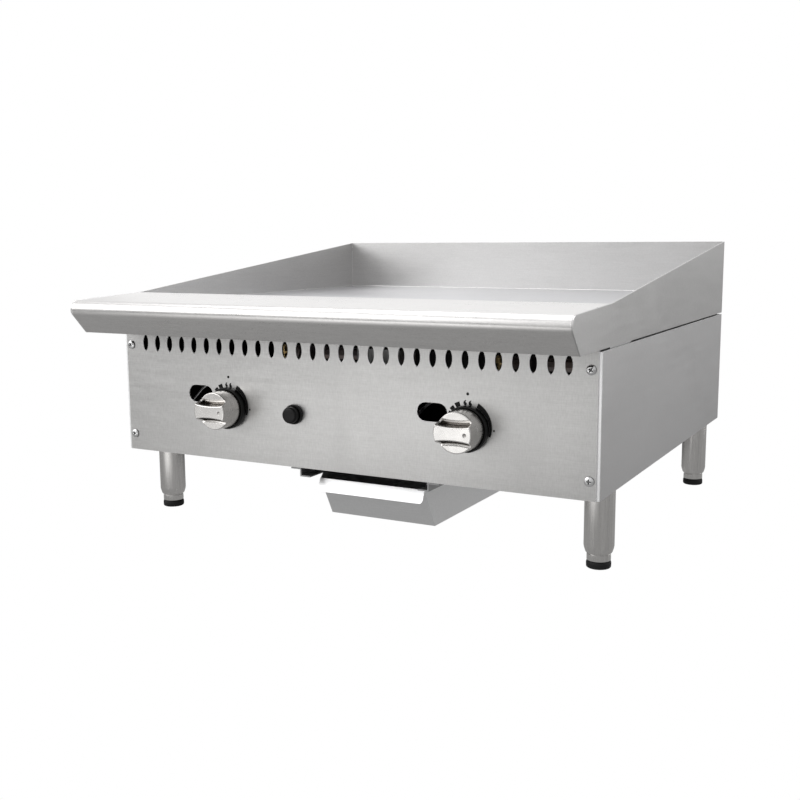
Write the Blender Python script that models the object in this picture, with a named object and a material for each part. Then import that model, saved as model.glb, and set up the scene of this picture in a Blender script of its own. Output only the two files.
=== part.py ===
"""Countertop gas griddle: a thick steel plate between splash guards, two U burners, a grease drawer.

Metres, +Z up, the front faces -Y, and the origin is at the middle of the footprint on the counter.
Depths are counted backwards from the face of the control panel, and heights from the counter.
"""

import math

import bmesh
import bpy
from mathutils import Matrix, Vector

# Casing
WIDTH = 0.720
BODY_DEPTH = 0.648
LEG_HEIGHT = 0.100
BODY_TOP = 0.2765
SHEET = 0.0015
GUARD_SHEET = 0.002
FIT = 0.0004
PANEL_INSET = 0.004
PANEL_TOP = 0.2975
SIDE_FLANGE = 0.025
TOP_RETURN = 0.030

# Splash guards and front deck
OVERHANG = 0.1033
GUARD_BOTTOM = 0.2787
SPLASH_TOP = 0.3962
DECK_REAR = 0.0345
DECK_REAR_HEIGHT = 0.3294
DECK_SLOPE = 0.0395
NOSE_RADIUS = 0.012
NOSE_FOOT_BACK = 0.0266
NOSE_HEM = 0.014
DECK_REAR_FLANGE = 0.028

# Griddle plate, its two rails and the grease trough
PLATE_TOP = 0.3126
PLATE_THICKNESS = 0.020
PLATE_FRONT = 0.122
RAIL_WIDTH = 0.040
RAIL_SHEET = 0.003
TROUGH_FLOOR = 0.262
TROUGH_LIP_DROP = 0.0035
CHUTE_X = 0.040
CHUTE_WIDTH = 0.064
CHUTE_DEPTH = 0.046
CHUTE_FRONT = 0.046
CHUTE_CLEARANCE = 0.003

# Control panel openings
SLOT_PITCH = 0.0221
SLOT_EDGE = 0.039
SLOT_WIDTH = 0.0094
SLOT_HEIGHT = 0.0250
SLOT_MIDDLE = 0.2592
PEEP_LENGTH = 0.0425
PEEP_HEIGHT = 0.0242
PEEP_OFFSET_X = -0.049
PEEP_OFFSET_Z = 0.0167
SCREW_EDGE = 0.0125
SCREW_HEIGHTS = (0.1236, 0.2549)
SCREW_HEAD_RADIUS = 0.0061
SCREW_RADIUS = 0.0024

# Gas train
CONTROL_HEIGHT = 0.174
KNOB_SHARES = {"left": -0.4814, "right": 0.5322}  # of half the width, from the middle
KNOB_RADIUS = 0.02575
KNOB_LENGTH = 0.0281
GRIP_RISE = 0.010
GRIP_END = 0.0105
GRIP_WAIST = 0.0083
GRIP_GROOVE = 0.0138
GRIP_INSET = 0.0016
GROOVE_SAG = 0.0016
SCOOP_DEPTH = 0.010
BEZEL_WALL = 0.00325
BEZEL_HEIGHT = 0.009
BEZEL_OVERLAP = 0.0015
STEM_RADIUS = 0.004
STEM_COLLAR_RADIUS = 0.0066
STEM_HOLE_RADIUS = 0.007
VALVE_RADIUS = 0.013
VALVE_FRONT = 0.014
VALVE_LENGTH = 0.044
MANIFOLD_RADIUS = 0.01065
MANIFOLD_WALL = 0.0028
MANIFOLD_DEPTH = 0.034
MANIFOLD_BEND = 0.035
INLET_EDGE = 0.042
INLET_STUB = 0.030
ORIFICE_RADIUS = 0.0055
SHUTTER_RADIUS = 0.024
SHUTTER_GAP = 0.0176
BURNER_RADIUS = 0.016
BURNER_WALL = 0.002
BURNER_HEIGHT = 0.235
BURNER_HALF_SPAN = 0.075
BURNER_RISE_END = 0.232
BURNER_REAR_EDGE = 0.088
SUPPORT_AHEAD = 0.040
SUPPORT_WIDTH = 0.020
PILOT_TUBE_RADIUS = 0.002
PILOT_START_X = -0.100
PILOT_SIDE_X = -0.045

# Push-button igniter
IGNITER_X = -0.064
IGNITER_HEIGHT = 0.173
BUTTON_RADIUS = 0.0112
BUTTON_PROUD = 0.015
COLLAR_RADIUS = 0.0135
COLLAR_HEIGHT = 0.005
BARREL_WALL = 0.0012

# Grease drawer and its rails
DRAWER_X = 0.040
DRAWER_WIDTH = 0.160
DRAWER_FACE = 0.0236
DRAWER_LEAN = 0.0294
DRAWER_FLOOR = 0.028
DRAWER_FRONT_TOP = 0.0826
DRAWER_LENGTH = 0.406
DRAWER_SHEET = 0.0015
DRAWER_LIP = 0.018
DRAWER_LIP_ANGLE = 25.0
RAIL_REACH = 0.0175
HANGER_HEIGHT = 0.0116
HANGER_SHEET = 0.002
HANGER_FLANGE = 0.0145

# Legs
LEG_RADIUS = 0.019
LEG_INSET = 0.0205
LEG_FRONT = 0.0685
LEG_REAR_EDGE = 0.078
LEG_MOUTH = 0.020
FOOT_RADIUS = 0.015
FOOT_ENGAGED = 0.034
PAD_HEIGHT = 0.0092
STUD_RADIUS = 0.0048

# Air openings and leg nuts in the bottom pan
AIR_FRONT = 0.080
AIR_REAR_EDGE = 0.348
AIR_SIDE_EDGE = 0.070
AIR_GAP = 0.040
NUT_RADIUS = 0.009
NUT_HEIGHT = 0.008

PANEL_Y = OVERHANG - (OVERHANG + BODY_DEPTH + INLET_STUB) / 2
HALF = WIDTH / 2
BEZEL_RADIUS = KNOB_RADIUS + BEZEL_WALL
SLOT_COUNT = int((WIDTH - 2 * SLOT_EDGE) / SLOT_PITCH) + 1
KNOB_X = {name: share * HALF for name, share in KNOB_SHARES.items()}
INLET_X = HALF - INLET_EDGE
BURNER_REAR = BODY_DEPTH - BURNER_REAR_EDGE
SUPPORT_DEPTH = BURNER_REAR - SUPPORT_AHEAD
LEG_DEPTHS = {"front": LEG_FRONT, "rear": BODY_DEPTH - LEG_REAR_EDGE}
INNER_HALF = HALF - GUARD_SHEET - FIT
PLATE_BOTTOM = PLATE_TOP - PLATE_THICKNESS
SPLASH_FACE = BODY_DEPTH - GUARD_SHEET - 2 * FIT
MANIFOLD_HEIGHT = CONTROL_HEIGHT - VALVE_RADIUS - MANIFOLD_RADIUS - FIT
VALVE_REAR = VALVE_FRONT + VALVE_LENGTH
SHUTTER_FACE = VALVE_REAR + SHUTTER_GAP
FLANGE_FACE = SHUTTER_FACE + SHEET + FIT
RAIL_TOP = LEG_HEIGHT - FIT
RAIL_BOTTOM = RAIL_TOP - HANGER_HEIGHT
DRAWER_RIM = RAIL_BOTTOM + HANGER_SHEET + FIT + DRAWER_SHEET
CUT = 0.001
SMOOTH = math.radians(35)


def behind(depth):
    """Y of a point that lies this far behind the control panel's face."""
    return PANEL_Y + depth


def finish(name, colour, roughness, metallic):
    made = bpy.data.materials.new(name)
    made.use_nodes = True
    shader = made.node_tree.nodes["Principled BSDF"]
    shader.inputs["Base Color"].default_value = (*colour, 1)
    shader.inputs["Roughness"].default_value = roughness
    shader.inputs["Metallic"].default_value = metallic
    return made


def clear_scene():
    for obj in list(bpy.data.objects):
        bpy.data.objects.remove(obj, do_unlink=True)


clear_scene()
STAINLESS = finish("stainless", (0.62, 0.61, 0.60), 0.30, 1.0)
PLATE_STEEL = finish("plate_steel", (0.58, 0.58, 0.58), 0.22, 1.0)
BURNER_STEEL = finish("burner_steel", (0.30, 0.29, 0.28), 0.55, 1.0)
BLACK_PIPE = finish("black_pipe", (0.05, 0.05, 0.05), 0.5, 0.6)
BRASS = finish("brass", (0.72, 0.52, 0.24), 0.3, 1.0)
ALUMINIUM = finish("aluminium", (0.75, 0.75, 0.76), 0.35, 1.0)
SATIN_CHROME = finish("satin_chrome", (0.72, 0.71, 0.69), 0.25, 1.0)
SPRING_STEEL = finish("spring_steel", (0.55, 0.55, 0.55), 0.3, 1.0)
SCREW_STEEL = finish("screw_steel", (0.70, 0.70, 0.70), 0.18, 1.0)
BLACK_PLASTIC = finish("black_plastic", (0.02, 0.02, 0.02), 0.35, 0.0)
RUBBER = finish("rubber", (0.015, 0.015, 0.015), 0.7, 0.0)


def place(name, bm, look, rounded=False):
    """The object made from a bmesh whose faces are turned outwards."""
    bmesh.ops.recalc_face_normals(bm, faces=bm.faces)
    mesh = bpy.data.meshes.new(name)
    bm.to_mesh(mesh)
    bm.free()
    if look:
        mesh.materials.append(look)
    if rounded:
        mesh.shade_smooth()
        mesh.set_sharp_from_angle(angle=SMOOTH)
    obj = bpy.data.objects.new(name, mesh)
    bpy.context.scene.collection.objects.link(obj)
    return obj


def boolean(obj, operation, *tools):
    """Joins or cuts with bmeshes, each kept as a hidden wire object."""
    for tool in tools:
        count = len(obj.modifiers)
        helper = place(f"{obj.name}.{operation.lower()}{count}", tool, None)
        helper.hide_render = True
        helper.display_type = "WIRE"
        modifier = obj.modifiers.new(f"{operation.lower()}{count}", "BOOLEAN")
        modifier.operation = operation
        modifier.object = helper
        modifier.solver = "EXACT"
    return obj


def cut(obj, *tools):
    return boolean(obj, "DIFFERENCE", *tools)


def join(obj, *tools):
    return boolean(obj, "UNION", *tools)


def merged(*parts):
    """One bmesh that holds several separate bodies, for use as a cutter."""
    bm = bmesh.new()
    for part in parts:
        mesh = bpy.data.meshes.new("loose")
        part.to_mesh(mesh)
        part.free()
        bm.from_mesh(mesh)
        bpy.data.meshes.remove(mesh)
    return bm


def block(low, high):
    bm = bmesh.new()
    size = [h - l for l, h in zip(low, high)]
    middle = [(h + l) / 2 for l, h in zip(low, high)]
    matrix = Matrix.Translation(middle) @ Matrix.Diagonal((*size, 1))
    bmesh.ops.create_cube(bm, size=1, matrix=matrix)
    return bm


def prism(outline, axis, low, high):
    """An outline extruded along an axis; its points are the two other coordinates, in X, Y, Z order."""
    bm = bmesh.new()
    index = "XYZ".index(axis)
    verts = []
    for first, second in outline:
        point = [first, second]
        point.insert(index, low)
        verts.append(bm.verts.new(point))
    face = bm.faces.new(verts)
    swept = bmesh.ops.extrude_face_region(bm, geom=[face])
    shift = [0, 0, 0]
    shift[index] = high - low
    moved = [part for part in swept["geom"] if isinstance(part, bmesh.types.BMVert)]
    bmesh.ops.translate(bm, verts=moved, vec=shift)
    return bm


def turned(profile, axis, centre, segments=24):
    """A profile of (radius, place along the axis) turned once about the axis."""
    bm = bmesh.new()
    side = Vector((1, 0, 0))
    along = Vector((0, 1, 0)) if axis == "Y" else Vector((0, 0, 1))
    verts = [bm.verts.new(Vector(centre) + side * r + along * a) for r, a in profile]
    edges = [bm.edges.new(pair) for pair in zip(verts, verts[1:])]
    if profile[0][0] > 0:
        edges.append(bm.edges.new((verts[-1], verts[0])))
    bmesh.ops.spin(bm, geom=verts + edges, cent=centre, axis=along, angle=2 * math.pi,
                   steps=segments, use_merge=True)
    bmesh.ops.remove_doubles(bm, verts=bm.verts, dist=1e-6)
    caps = []
    for end, neighbour in ((profile[0], profile[1]), (profile[-1], profile[-2])):
        if end[0] == 0 and neighbour[1] == end[1]:
            middle = Vector(centre) + along * end[1]
            caps += [vert for vert in bm.verts if (vert.co - middle).length < 1e-6]
    bmesh.ops.dissolve_verts(bm, verts=caps)
    return bm


def rod(radius, axis, centre, low, high, segments=20):
    """A plain cylinder between two places along its axis."""
    return turned([(0, low), (radius, low), (radius, high), (0, high)], axis, centre, segments)


def arc(centre, radius, start, end, steps):
    """Points on an arc, angles in degrees."""
    points = []
    for step in range(steps + 1):
        angle = math.radians(start + (end - start) * step / steps)
        points.append((centre[0] + radius * math.cos(angle), centre[1] + radius * math.sin(angle)))
    return points


def open_box(low, high, walls, sheet):
    """A folded sheet: the walls named, such as x- or z+, of a box."""
    outer = block(low, high)
    inner_low = [l + (sheet if axis + "-" in walls else -CUT) for axis, l in zip("xyz", low)]
    inner_high = [h - (sheet if axis + "+" in walls else -CUT) for axis, h in zip("xyz", high)]
    return outer, block(inner_low, inner_high)


def folded(name, low, high, walls, sheet, look):
    outer, inner = open_box(low, high, walls, sheet)
    return cut(place(name, outer, look), inner)


def swept(route, radius, sides):
    """A round bar along a route, as a bmesh."""
    curve = bpy.data.curves.new("route", "CURVE")
    curve.dimensions = "3D"
    curve.bevel_depth = radius
    curve.bevel_resolution = sides // 2 - 2
    curve.use_fill_caps = True
    spline = curve.splines.new("POLY")
    spline.points.add(len(route) - 1)
    for point, place_ in zip(spline.points, route):
        point.co = (*place_, 1)
    holder = bpy.data.objects.new("route", curve)
    bpy.context.scene.collection.objects.link(holder)
    mesh = bpy.data.meshes.new_from_object(holder)
    bm = bmesh.new()
    bm.from_mesh(mesh)
    bpy.data.objects.remove(holder, do_unlink=True)
    bpy.data.curves.remove(curve)
    bpy.data.meshes.remove(mesh)
    bmesh.ops.remove_doubles(bm, verts=bm.verts, dist=1e-6)
    return bm


def smooth(route, steps):
    """A Catmull-Rom curve through the route's points."""
    knots = [Vector(point) for point in route]
    knots = [2 * knots[0] - knots[1], *knots, 2 * knots[-1] - knots[-2]]
    points = []
    for a, b, c, d in zip(knots, knots[1:], knots[2:], knots[3:]):
        for step in range(steps):
            t = step / steps
            points.append(0.5 * (2 * b + (c - a) * t + (2 * a - 5 * b + 4 * c - d) * t * t
                                 + (3 * b - a - 3 * c + d) * t ** 3))
    points.append(knots[-2])
    return points


def hex_bar(radius, centre, axis, low, high):
    """A hexagonal bar, radius across its corners."""
    outline = arc(centre, radius, 0, 300, 5)
    return prism(outline, axis, low, high)


def on_joint(name, origin, *pieces):
    """An empty on a joint's axis that carries the pieces which move with it."""
    holder = bpy.data.objects.new(name, None)
    holder.location = origin
    holder.empty_display_size = 0.02
    bpy.context.scene.collection.objects.link(holder)
    for piece in pieces:
        piece.parent = holder
        piece.matrix_parent_inverse = Matrix.Translation(origin).inverted()
    return holder


def deck_height(depth):
    """Height of the front deck's top, which falls slightly towards the nose."""
    return DECK_REAR_HEIGHT - DECK_SLOPE * (DECK_REAR - depth)


def nose_path(inset=0.0):
    """Depth and height along the deck from its rear edge round the nose to its lower edge."""
    centre_depth = -OVERHANG + NOSE_RADIUS
    tilt = math.atan(DECK_SLOPE)
    centre_height = deck_height(centre_depth) - NOSE_RADIUS / math.cos(tilt)
    foot = Vector((-OVERHANG + NOSE_FOOT_BACK - centre_depth, GUARD_BOTTOM - centre_height))
    reach = math.degrees(math.acos(NOSE_RADIUS / foot.length))
    foot_angle = math.degrees(math.atan2(foot.y, foot.x)) % 360
    start = 90 + math.degrees(tilt)
    end = foot_angle - reach
    radius = NOSE_RADIUS - inset
    curve = arc((centre_depth, centre_height), radius, start, end, 8)
    out = Vector((math.cos(math.radians(end)), math.sin(math.radians(end))))
    foot_point = foot + Vector((centre_depth, centre_height)) - out * inset
    return curve, (foot_point.x, foot_point.y)


def world(outline):
    """Outline points of (depth, height) as (y, z)."""
    return [(behind(depth), height) for depth, height in outline]


def control_panel():
    half = HALF - PANEL_INSET
    panel = place("control_panel", block((-half, behind(0), LEG_HEIGHT), (half, behind(SHEET), PANEL_TOP)),
                  STAINLESS)
    top_half = half - FIT
    join(panel, block((-top_half, behind(SHEET / 2), PANEL_TOP - SHEET),
                      (top_half, behind(TOP_RETURN), PANEL_TOP - FIT / 2)))
    slots = []
    for index in range(SLOT_COUNT):
        x = (index - (SLOT_COUNT - 1) / 2) * SLOT_PITCH
        slots.append(prism(slot_outline(x), "Y", behind(-CUT), behind(SHEET + CUT)))
    cut(panel, merged(*slots))
    holes = []
    for x in KNOB_X.values():
        holes.append(rod(STEM_HOLE_RADIUS, "Y", (x, 0, CONTROL_HEIGHT), behind(-CUT), behind(SHEET + CUT)))
        holes.append(prism(peep_outline(x), "Y", behind(-CUT), behind(SHEET + CUT)))
    barrel = BUTTON_RADIUS + FIT + BARREL_WALL
    holes.append(rod(barrel + FIT, "Y", (IGNITER_X, 0, IGNITER_HEIGHT), behind(-CUT), behind(SHEET + CUT)))
    for x, z in screw_places():
        holes.append(rod(SCREW_RADIUS + FIT, "Y", (x, 0, z), behind(-CUT), behind(SHEET + CUT), 12))
    cut(panel, merged(*holes))


def slot_outline(x):
    """A narrow upright slot with nearly straight sides and pointed ends."""
    steps = 8
    right = []
    for step in range(steps + 1):
        rise = -1 + 2 * step / steps
        width = SLOT_WIDTH / 2 * (1 - abs(rise) ** 2.2) ** 0.75
        right.append((width, SLOT_MIDDLE + SLOT_HEIGHT / 2 * rise))
    left = [(-w, z) for w, z in right[-2:0:-1]]
    return [(x + w, z) for w, z in right + left]


def peep_outline(knob_x):
    x = knob_x + PEEP_OFFSET_X
    z = CONTROL_HEIGHT + PEEP_OFFSET_Z
    radius = PEEP_HEIGHT / 2
    reach = PEEP_LENGTH / 2 - radius
    return arc((x + reach, z), radius, -90, 90, 8) + arc((x - reach, z), radius, 90, 270, 8)


def screw_places():
    return [(side * (HALF - SCREW_EDGE), z) for side in (-1, 1) for z in SCREW_HEIGHTS]


def casing():
    for name, side in (("left", -1), ("right", 1)):
        outer = side * HALF
        inner = side * (HALF - SIDE_FLANGE)
        low = (min(outer, inner), behind(SHEET + FIT), LEG_HEIGHT)
        high = (max(outer, inner), behind(BODY_DEPTH), BODY_TOP)
        walls = ("x+" if side > 0 else "x-", "y-", "z+")
        panel = folded(f"side_panel_{name}", low, high, walls, SHEET, STAINLESS)
        shanks = [rod(SCREW_RADIUS + FIT, "Y", (x, 0, z), behind(0), behind(3 * SHEET), 12)
                  for x, z in screw_places() if x * side > 0]
        notch_ends = sorted((side * (HALF - SHEET), inner - side * CUT))
        notch = block((notch_ends[0], behind(DECK_REAR), TROUGH_FLOOR - FIT),
                      (notch_ends[1], behind(PLATE_FRONT), BODY_TOP + CUT))
        cut(panel, merged(*shanks), notch)
    half = HALF - SHEET - FIT
    back = folded("back_panel", (-half, behind(BODY_DEPTH - 0.021), LEG_HEIGHT + 0.004),
                  (half, behind(BODY_DEPTH - FIT), BODY_TOP - SHEET - FIT), ("y+", "z+"), SHEET, STAINLESS)
    slots = []
    for index in range(9):
        x = (index - 4) * 0.060
        slots.append(prism(upright_slot(x, 0.205, 0.012, 0.060), "Y", behind(BODY_DEPTH - 0.004),
                           behind(BODY_DEPTH + CUT)))
    slots.append(rod(MANIFOLD_RADIUS + 0.003, "Y", (INLET_X, 0, MANIFOLD_HEIGHT), behind(BODY_DEPTH - 0.004),
                     behind(BODY_DEPTH + CUT)))
    cut(back, merged(*slots))


def upright_slot(x, z, width, height):
    radius = width / 2
    reach = height / 2 - radius
    return arc((x, z + reach), radius, 0, 180, 4) + arc((x, z - reach), radius, 180, 360, 4)


def bottom_pan():
    half = HALF - SHEET - FIT
    front = 2 * SHEET + 2 * FIT
    rear = BODY_DEPTH - SHEET - 2 * FIT
    sheet = block((-half, behind(front), LEG_HEIGHT), (half, behind(rear), LEG_HEIGHT + SHEET))
    pan = place("bottom_pan", sheet, STAINLESS)
    nut_top = LEG_HEIGHT + SHEET + NUT_HEIGHT
    for x, depth in leg_places().values():
        join(pan, hex_bar(NUT_RADIUS, (x, behind(depth)), "Z", LEG_HEIGHT + SHEET / 2, nut_top))
    holes = [block((CHUTE_X - CHUTE_WIDTH / 2 - CHUTE_CLEARANCE, behind(CHUTE_FRONT - CHUTE_CLEARANCE),
                    LEG_HEIGHT - CUT),
                   (CHUTE_X + CHUTE_WIDTH / 2 + CHUTE_CLEARANCE,
                    behind(CHUTE_FRONT + CHUTE_DEPTH + CHUTE_CLEARANCE), LEG_HEIGHT + SHEET + CUT))]
    for x, depth in leg_places().values():
        holes.append(rod(STUD_RADIUS + FIT, "Z", (x, behind(depth), 0), LEG_HEIGHT - CUT, nut_top + CUT, 16))
    drawer_left, drawer_right = drawer_walls()
    side = HALF - AIR_SIDE_EDGE
    for start, end in ((-side, drawer_left - AIR_GAP), (drawer_right + AIR_GAP, side)):
        holes.append(block((start, behind(AIR_FRONT), LEG_HEIGHT - CUT),
                           (end, behind(BODY_DEPTH - AIR_REAR_EDGE), LEG_HEIGHT + SHEET + CUT)))
    cut(pan, merged(*holes))


def splash_guards():
    curve, foot = nose_path()
    rear = [(BODY_DEPTH, GUARD_BOTTOM), (BODY_DEPTH, SPLASH_TOP), (DECK_REAR, DECK_REAR_HEIGHT)]
    outline = [*rear, *curve, foot]
    for name, side in (("left", -1), ("right", 1)):
        ends = sorted((side * HALF, side * (HALF - GUARD_SHEET)))
        place(f"splash_{name}", prism(world(outline), "X", *ends), STAINLESS)
    place("splash_back", block((-INNER_HALF, behind(SPLASH_FACE), GUARD_BOTTOM),
                               (INNER_HALF, behind(SPLASH_FACE + GUARD_SHEET), SPLASH_TOP)), STAINLESS)


def front_deck():
    outer, foot = nose_path()
    inner, inner_foot = nose_path(GUARD_SHEET)
    rear = DECK_REAR
    flange_low = DECK_REAR_HEIGHT - DECK_REAR_FLANGE
    under = DECK_REAR_HEIGHT - GUARD_SHEET
    hem = foot[0] + NOSE_HEM
    outline = [(rear, flange_low), (rear, DECK_REAR_HEIGHT), *outer, foot, (hem, foot[1]),
               (hem, foot[1] + GUARD_SHEET), (inner_foot[0] + 2 * GUARD_SHEET, foot[1] + GUARD_SHEET),
               *reversed(inner), (rear - GUARD_SHEET, under), (rear - GUARD_SHEET, flange_low)]
    place("front_deck", prism(world(outline), "X", -INNER_HALF, INNER_HALF), STAINLESS)


def grease_trough():
    front = DECK_REAR + FIT
    rear = PLATE_FRONT - FIT
    top = DECK_REAR_HEIGHT - TROUGH_LIP_DROP
    lip = PLATE_TOP - TROUGH_LIP_DROP / 2
    low = (-INNER_HALF, behind(front), TROUGH_FLOOR)
    high = (INNER_HALF, behind(rear), top)
    trough = folded("grease_trough", low, high, ("x-", "x+", "y-", "y+", "z-"), GUARD_SHEET, STAINLESS)
    cut(trough, block((-HALF, behind(rear - 3 * GUARD_SHEET), lip), (HALF, behind(rear + CUT), top + CUT)))
    chute_low = DRAWER_RIM + 0.0012
    left = CHUTE_X - CHUTE_WIDTH / 2
    right = CHUTE_X + CHUTE_WIDTH / 2
    chute_back = CHUTE_FRONT + CHUTE_DEPTH
    chute_top = TROUGH_FLOOR + GUARD_SHEET / 2
    join(trough, block((left, behind(CHUTE_FRONT), chute_low), (right, behind(chute_back), chute_top)))
    bore_low = (left + GUARD_SHEET, behind(CHUTE_FRONT + GUARD_SHEET), chute_low - CUT)
    bore_high = (right - GUARD_SHEET, behind(chute_back - GUARD_SHEET), TROUGH_FLOOR + 2 * GUARD_SHEET)
    cut(trough, block(bore_low, bore_high))


def griddle_plate():
    place("griddle_plate", block((-INNER_HALF, behind(PLATE_FRONT), PLATE_BOTTOM),
                                 (INNER_HALF, behind(SPLASH_FACE - FIT), PLATE_TOP)), PLATE_STEEL)
    for name, front in (("front", PLATE_FRONT + 0.003), ("rear", BODY_DEPTH - RAIL_WIDTH - 0.025)):
        folded(f"plate_rail_{name}", (-INNER_HALF, behind(front), BODY_TOP + FIT),
               (INNER_HALF, behind(front + RAIL_WIDTH), PLATE_BOTTOM - FIT), ("y-", "y+", "z+"), RAIL_SHEET,
               BLACK_PIPE)


def gas_manifold():
    left_end = KNOB_X["left"] - 0.120
    y = behind(MANIFOLD_DEPTH)
    z = MANIFOLD_HEIGHT
    corner = (INLET_X - MANIFOLD_BEND, y + MANIFOLD_BEND)
    bend = [(a, b, z) for a, b in arc(corner, MANIFOLD_BEND, -90, 0, 5)]
    route = [(left_end, y, z), *bend, (INLET_X, behind(BODY_DEPTH + INLET_STUB), z)]
    bore = [(left_end + MANIFOLD_WALL, y, z), *bend, (INLET_X, behind(BODY_DEPTH + INLET_STUB) + CUT, z)]
    pipe = place("gas_manifold", swept(route, MANIFOLD_RADIUS, 12), BLACK_PIPE, rounded=True)
    cut(pipe, swept(bore, MANIFOLD_RADIUS - MANIFOLD_WALL, 8))
    ports = [rod(0.006 + FIT, "Z", (x, y, 0), z, z + MANIFOLD_RADIUS + CUT, 12) for x in KNOB_X.values()]
    ports += [rod(PILOT_TUBE_RADIUS + FIT, "Z", (x + PILOT_START_X, y, 0), z, z + MANIFOLD_RADIUS + CUT, 10)
              for x in KNOB_X.values()]
    cut(pipe, merged(*ports))


def gas_valve(name, x):
    centre = (x, PANEL_Y, CONTROL_HEIGHT)
    nose = 0.002
    chamber = VALVE_LENGTH - 0.018
    end = VALVE_FRONT + chamber
    ring = [(STEM_RADIUS + FIT, VALVE_FRONT), (VALVE_RADIUS, VALVE_FRONT), (VALVE_RADIUS, VALVE_REAR),
            (0.003, VALVE_REAR), (0.003, end), (0.0072, end), (0.0072, VALVE_FRONT + nose),
            (STEM_RADIUS + FIT, VALVE_FRONT + nose)]
    body = place(f"gas_valve_{name}", turned(ring, "Y", centre, 16), BRASS, rounded=True)
    nipple_low = MANIFOLD_HEIGHT + MANIFOLD_RADIUS - MANIFOLD_WALL
    nipple_top = CONTROL_HEIGHT - 0.009
    join(body, rod(0.006, "Z", (x, behind(MANIFOLD_DEPTH), 0), nipple_low, nipple_top, 12))
    stem_front = -(BEZEL_HEIGHT - BEZEL_OVERLAP) - 0.020
    stem_end = end - 0.006
    collar = VALVE_FRONT + nose + FIT
    stem = [(0, stem_front), (STEM_RADIUS, stem_front), (STEM_RADIUS, collar), (STEM_COLLAR_RADIUS, collar),
            (STEM_COLLAR_RADIUS, collar + 0.0025), (STEM_RADIUS, collar + 0.0025), (STEM_RADIUS, stem_end),
            (0, stem_end)]
    stem_piece = place(f"valve_stem_{name}", turned(stem, "Y", centre, 16), BRASS, rounded=True)
    pin = rod(0.0025, "Y", centre, stem_end + FIT, VALVE_REAR - 0.004, 12)
    pin_piece = place(f"valve_push_pin_{name}", pin, SPRING_STEEL, rounded=True)
    spring = coil(0.0055, 0.0006, collar + 0.0025 + FIT, end - FIT, 5)
    place(f"valve_spring_{name}", shifted(spring, centre), SPRING_STEEL, rounded=True)
    orifice(name, centre)
    return stem_piece, pin_piece


def coil(radius, wire, low, high, turns):
    """A compression spring about the Y axis between two depths."""
    steps = turns * 8
    route = []
    for step in range(steps + 1):
        angle = 2 * math.pi * turns * step / steps
        along = low + wire + (high - low - 2 * wire) * step / steps
        route.append((radius * math.cos(angle), along, radius * math.sin(angle)))
    return swept(route, wire, 4)


def shifted(bm, offset):
    bmesh.ops.translate(bm, verts=bm.verts, vec=offset)
    return bm


def orifice(name, centre):
    """Brass spud that aims the gas into the burner's mouth."""
    start = VALVE_REAR + FIT
    shoulder = SHUTTER_FACE - 0.004
    tip = FLANGE_FACE + 0.008
    profile = [(0, start), (0.0085, start), (0.0085, shoulder), (ORIFICE_RADIUS, shoulder + 0.002),
               (ORIFICE_RADIUS, tip - 0.002), (0.003, tip), (0.0012, tip), (0.0012, tip - 0.004),
               (0, tip - 0.004)]
    place(f"orifice_{name}", turned(profile, "Y", centre, 16), BRASS, rounded=True)


def air_openings(x, low, high, turn):
    """Two openings shaped like a part ring, opposite each other, through a disc."""
    holes = []
    for half_turn in (0, 180):
        start = turn + half_turn - 35
        outline = arc((x, CONTROL_HEIGHT), 0.0205, start, start + 70, 6)
        outline += arc((x, CONTROL_HEIGHT), 0.0095, start + 70, start, 4)
        holes.append(prism(outline, "Y", low, high))
    return holes


def burner(name, x):
    centre = (x, PANEL_Y, CONTROL_HEIGHT)
    throat = [(x, behind(depth), height) for depth, height in
              ((FLANGE_FACE + SHEET / 2, CONTROL_HEIGHT), (FLANGE_FACE + 0.070, CONTROL_HEIGHT),
               (FLANGE_FACE + 0.110, CONTROL_HEIGHT + 0.018),
               (BURNER_RISE_END - 0.028, BURNER_HEIGHT - 0.008), (BURNER_RISE_END + 0.002, BURNER_HEIGHT))]
    tube = place(f"burner_{name}", swept(smooth(throat, 3), BURNER_RADIUS, 12), BURNER_STEEL, rounded=True)
    corner = 0.030
    left = x - BURNER_HALF_SPAN
    right = x + BURNER_HALF_SPAN
    turn_y = behind(BURNER_RISE_END) + corner
    route = [(left, behind(BURNER_REAR))]
    route += arc((left + corner, turn_y), corner, 180, 270, 4)
    route += arc((right - corner, turn_y), corner, 270, 360, 4)
    route.append((right, behind(BURNER_REAR)))
    join(tube, swept([(a, b, BURNER_HEIGHT) for a, b in route], BURNER_RADIUS, 12))
    join(tube, rod(SHUTTER_RADIUS, "Y", centre, FLANGE_FACE, FLANGE_FACE + SHEET, 24))
    cut(tube, rod(BURNER_RADIUS - BURNER_WALL, "Y", centre, FLANGE_FACE - CUT, FLANGE_FACE + 0.060))
    disc = rod(SHUTTER_RADIUS, "Y", centre, SHUTTER_FACE, SHUTTER_FACE + SHEET, 24)
    shutter = place(f"air_shutter_{name}", disc, ALUMINIUM, rounded=True)
    openings = air_openings(x, behind(SHUTTER_FACE - CUT), behind(SHUTTER_FACE + SHEET + CUT), 90)
    cut(shutter, merged(*openings, rod(ORIFICE_RADIUS + FIT, "Y", centre, SHUTTER_FACE - CUT,
                                       SHUTTER_FACE + SHEET + CUT, 16)))
    on_joint(f"air_shutter_{name}_axis", (x, behind(SHUTTER_FACE), CONTROL_HEIGHT), shutter)


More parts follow.
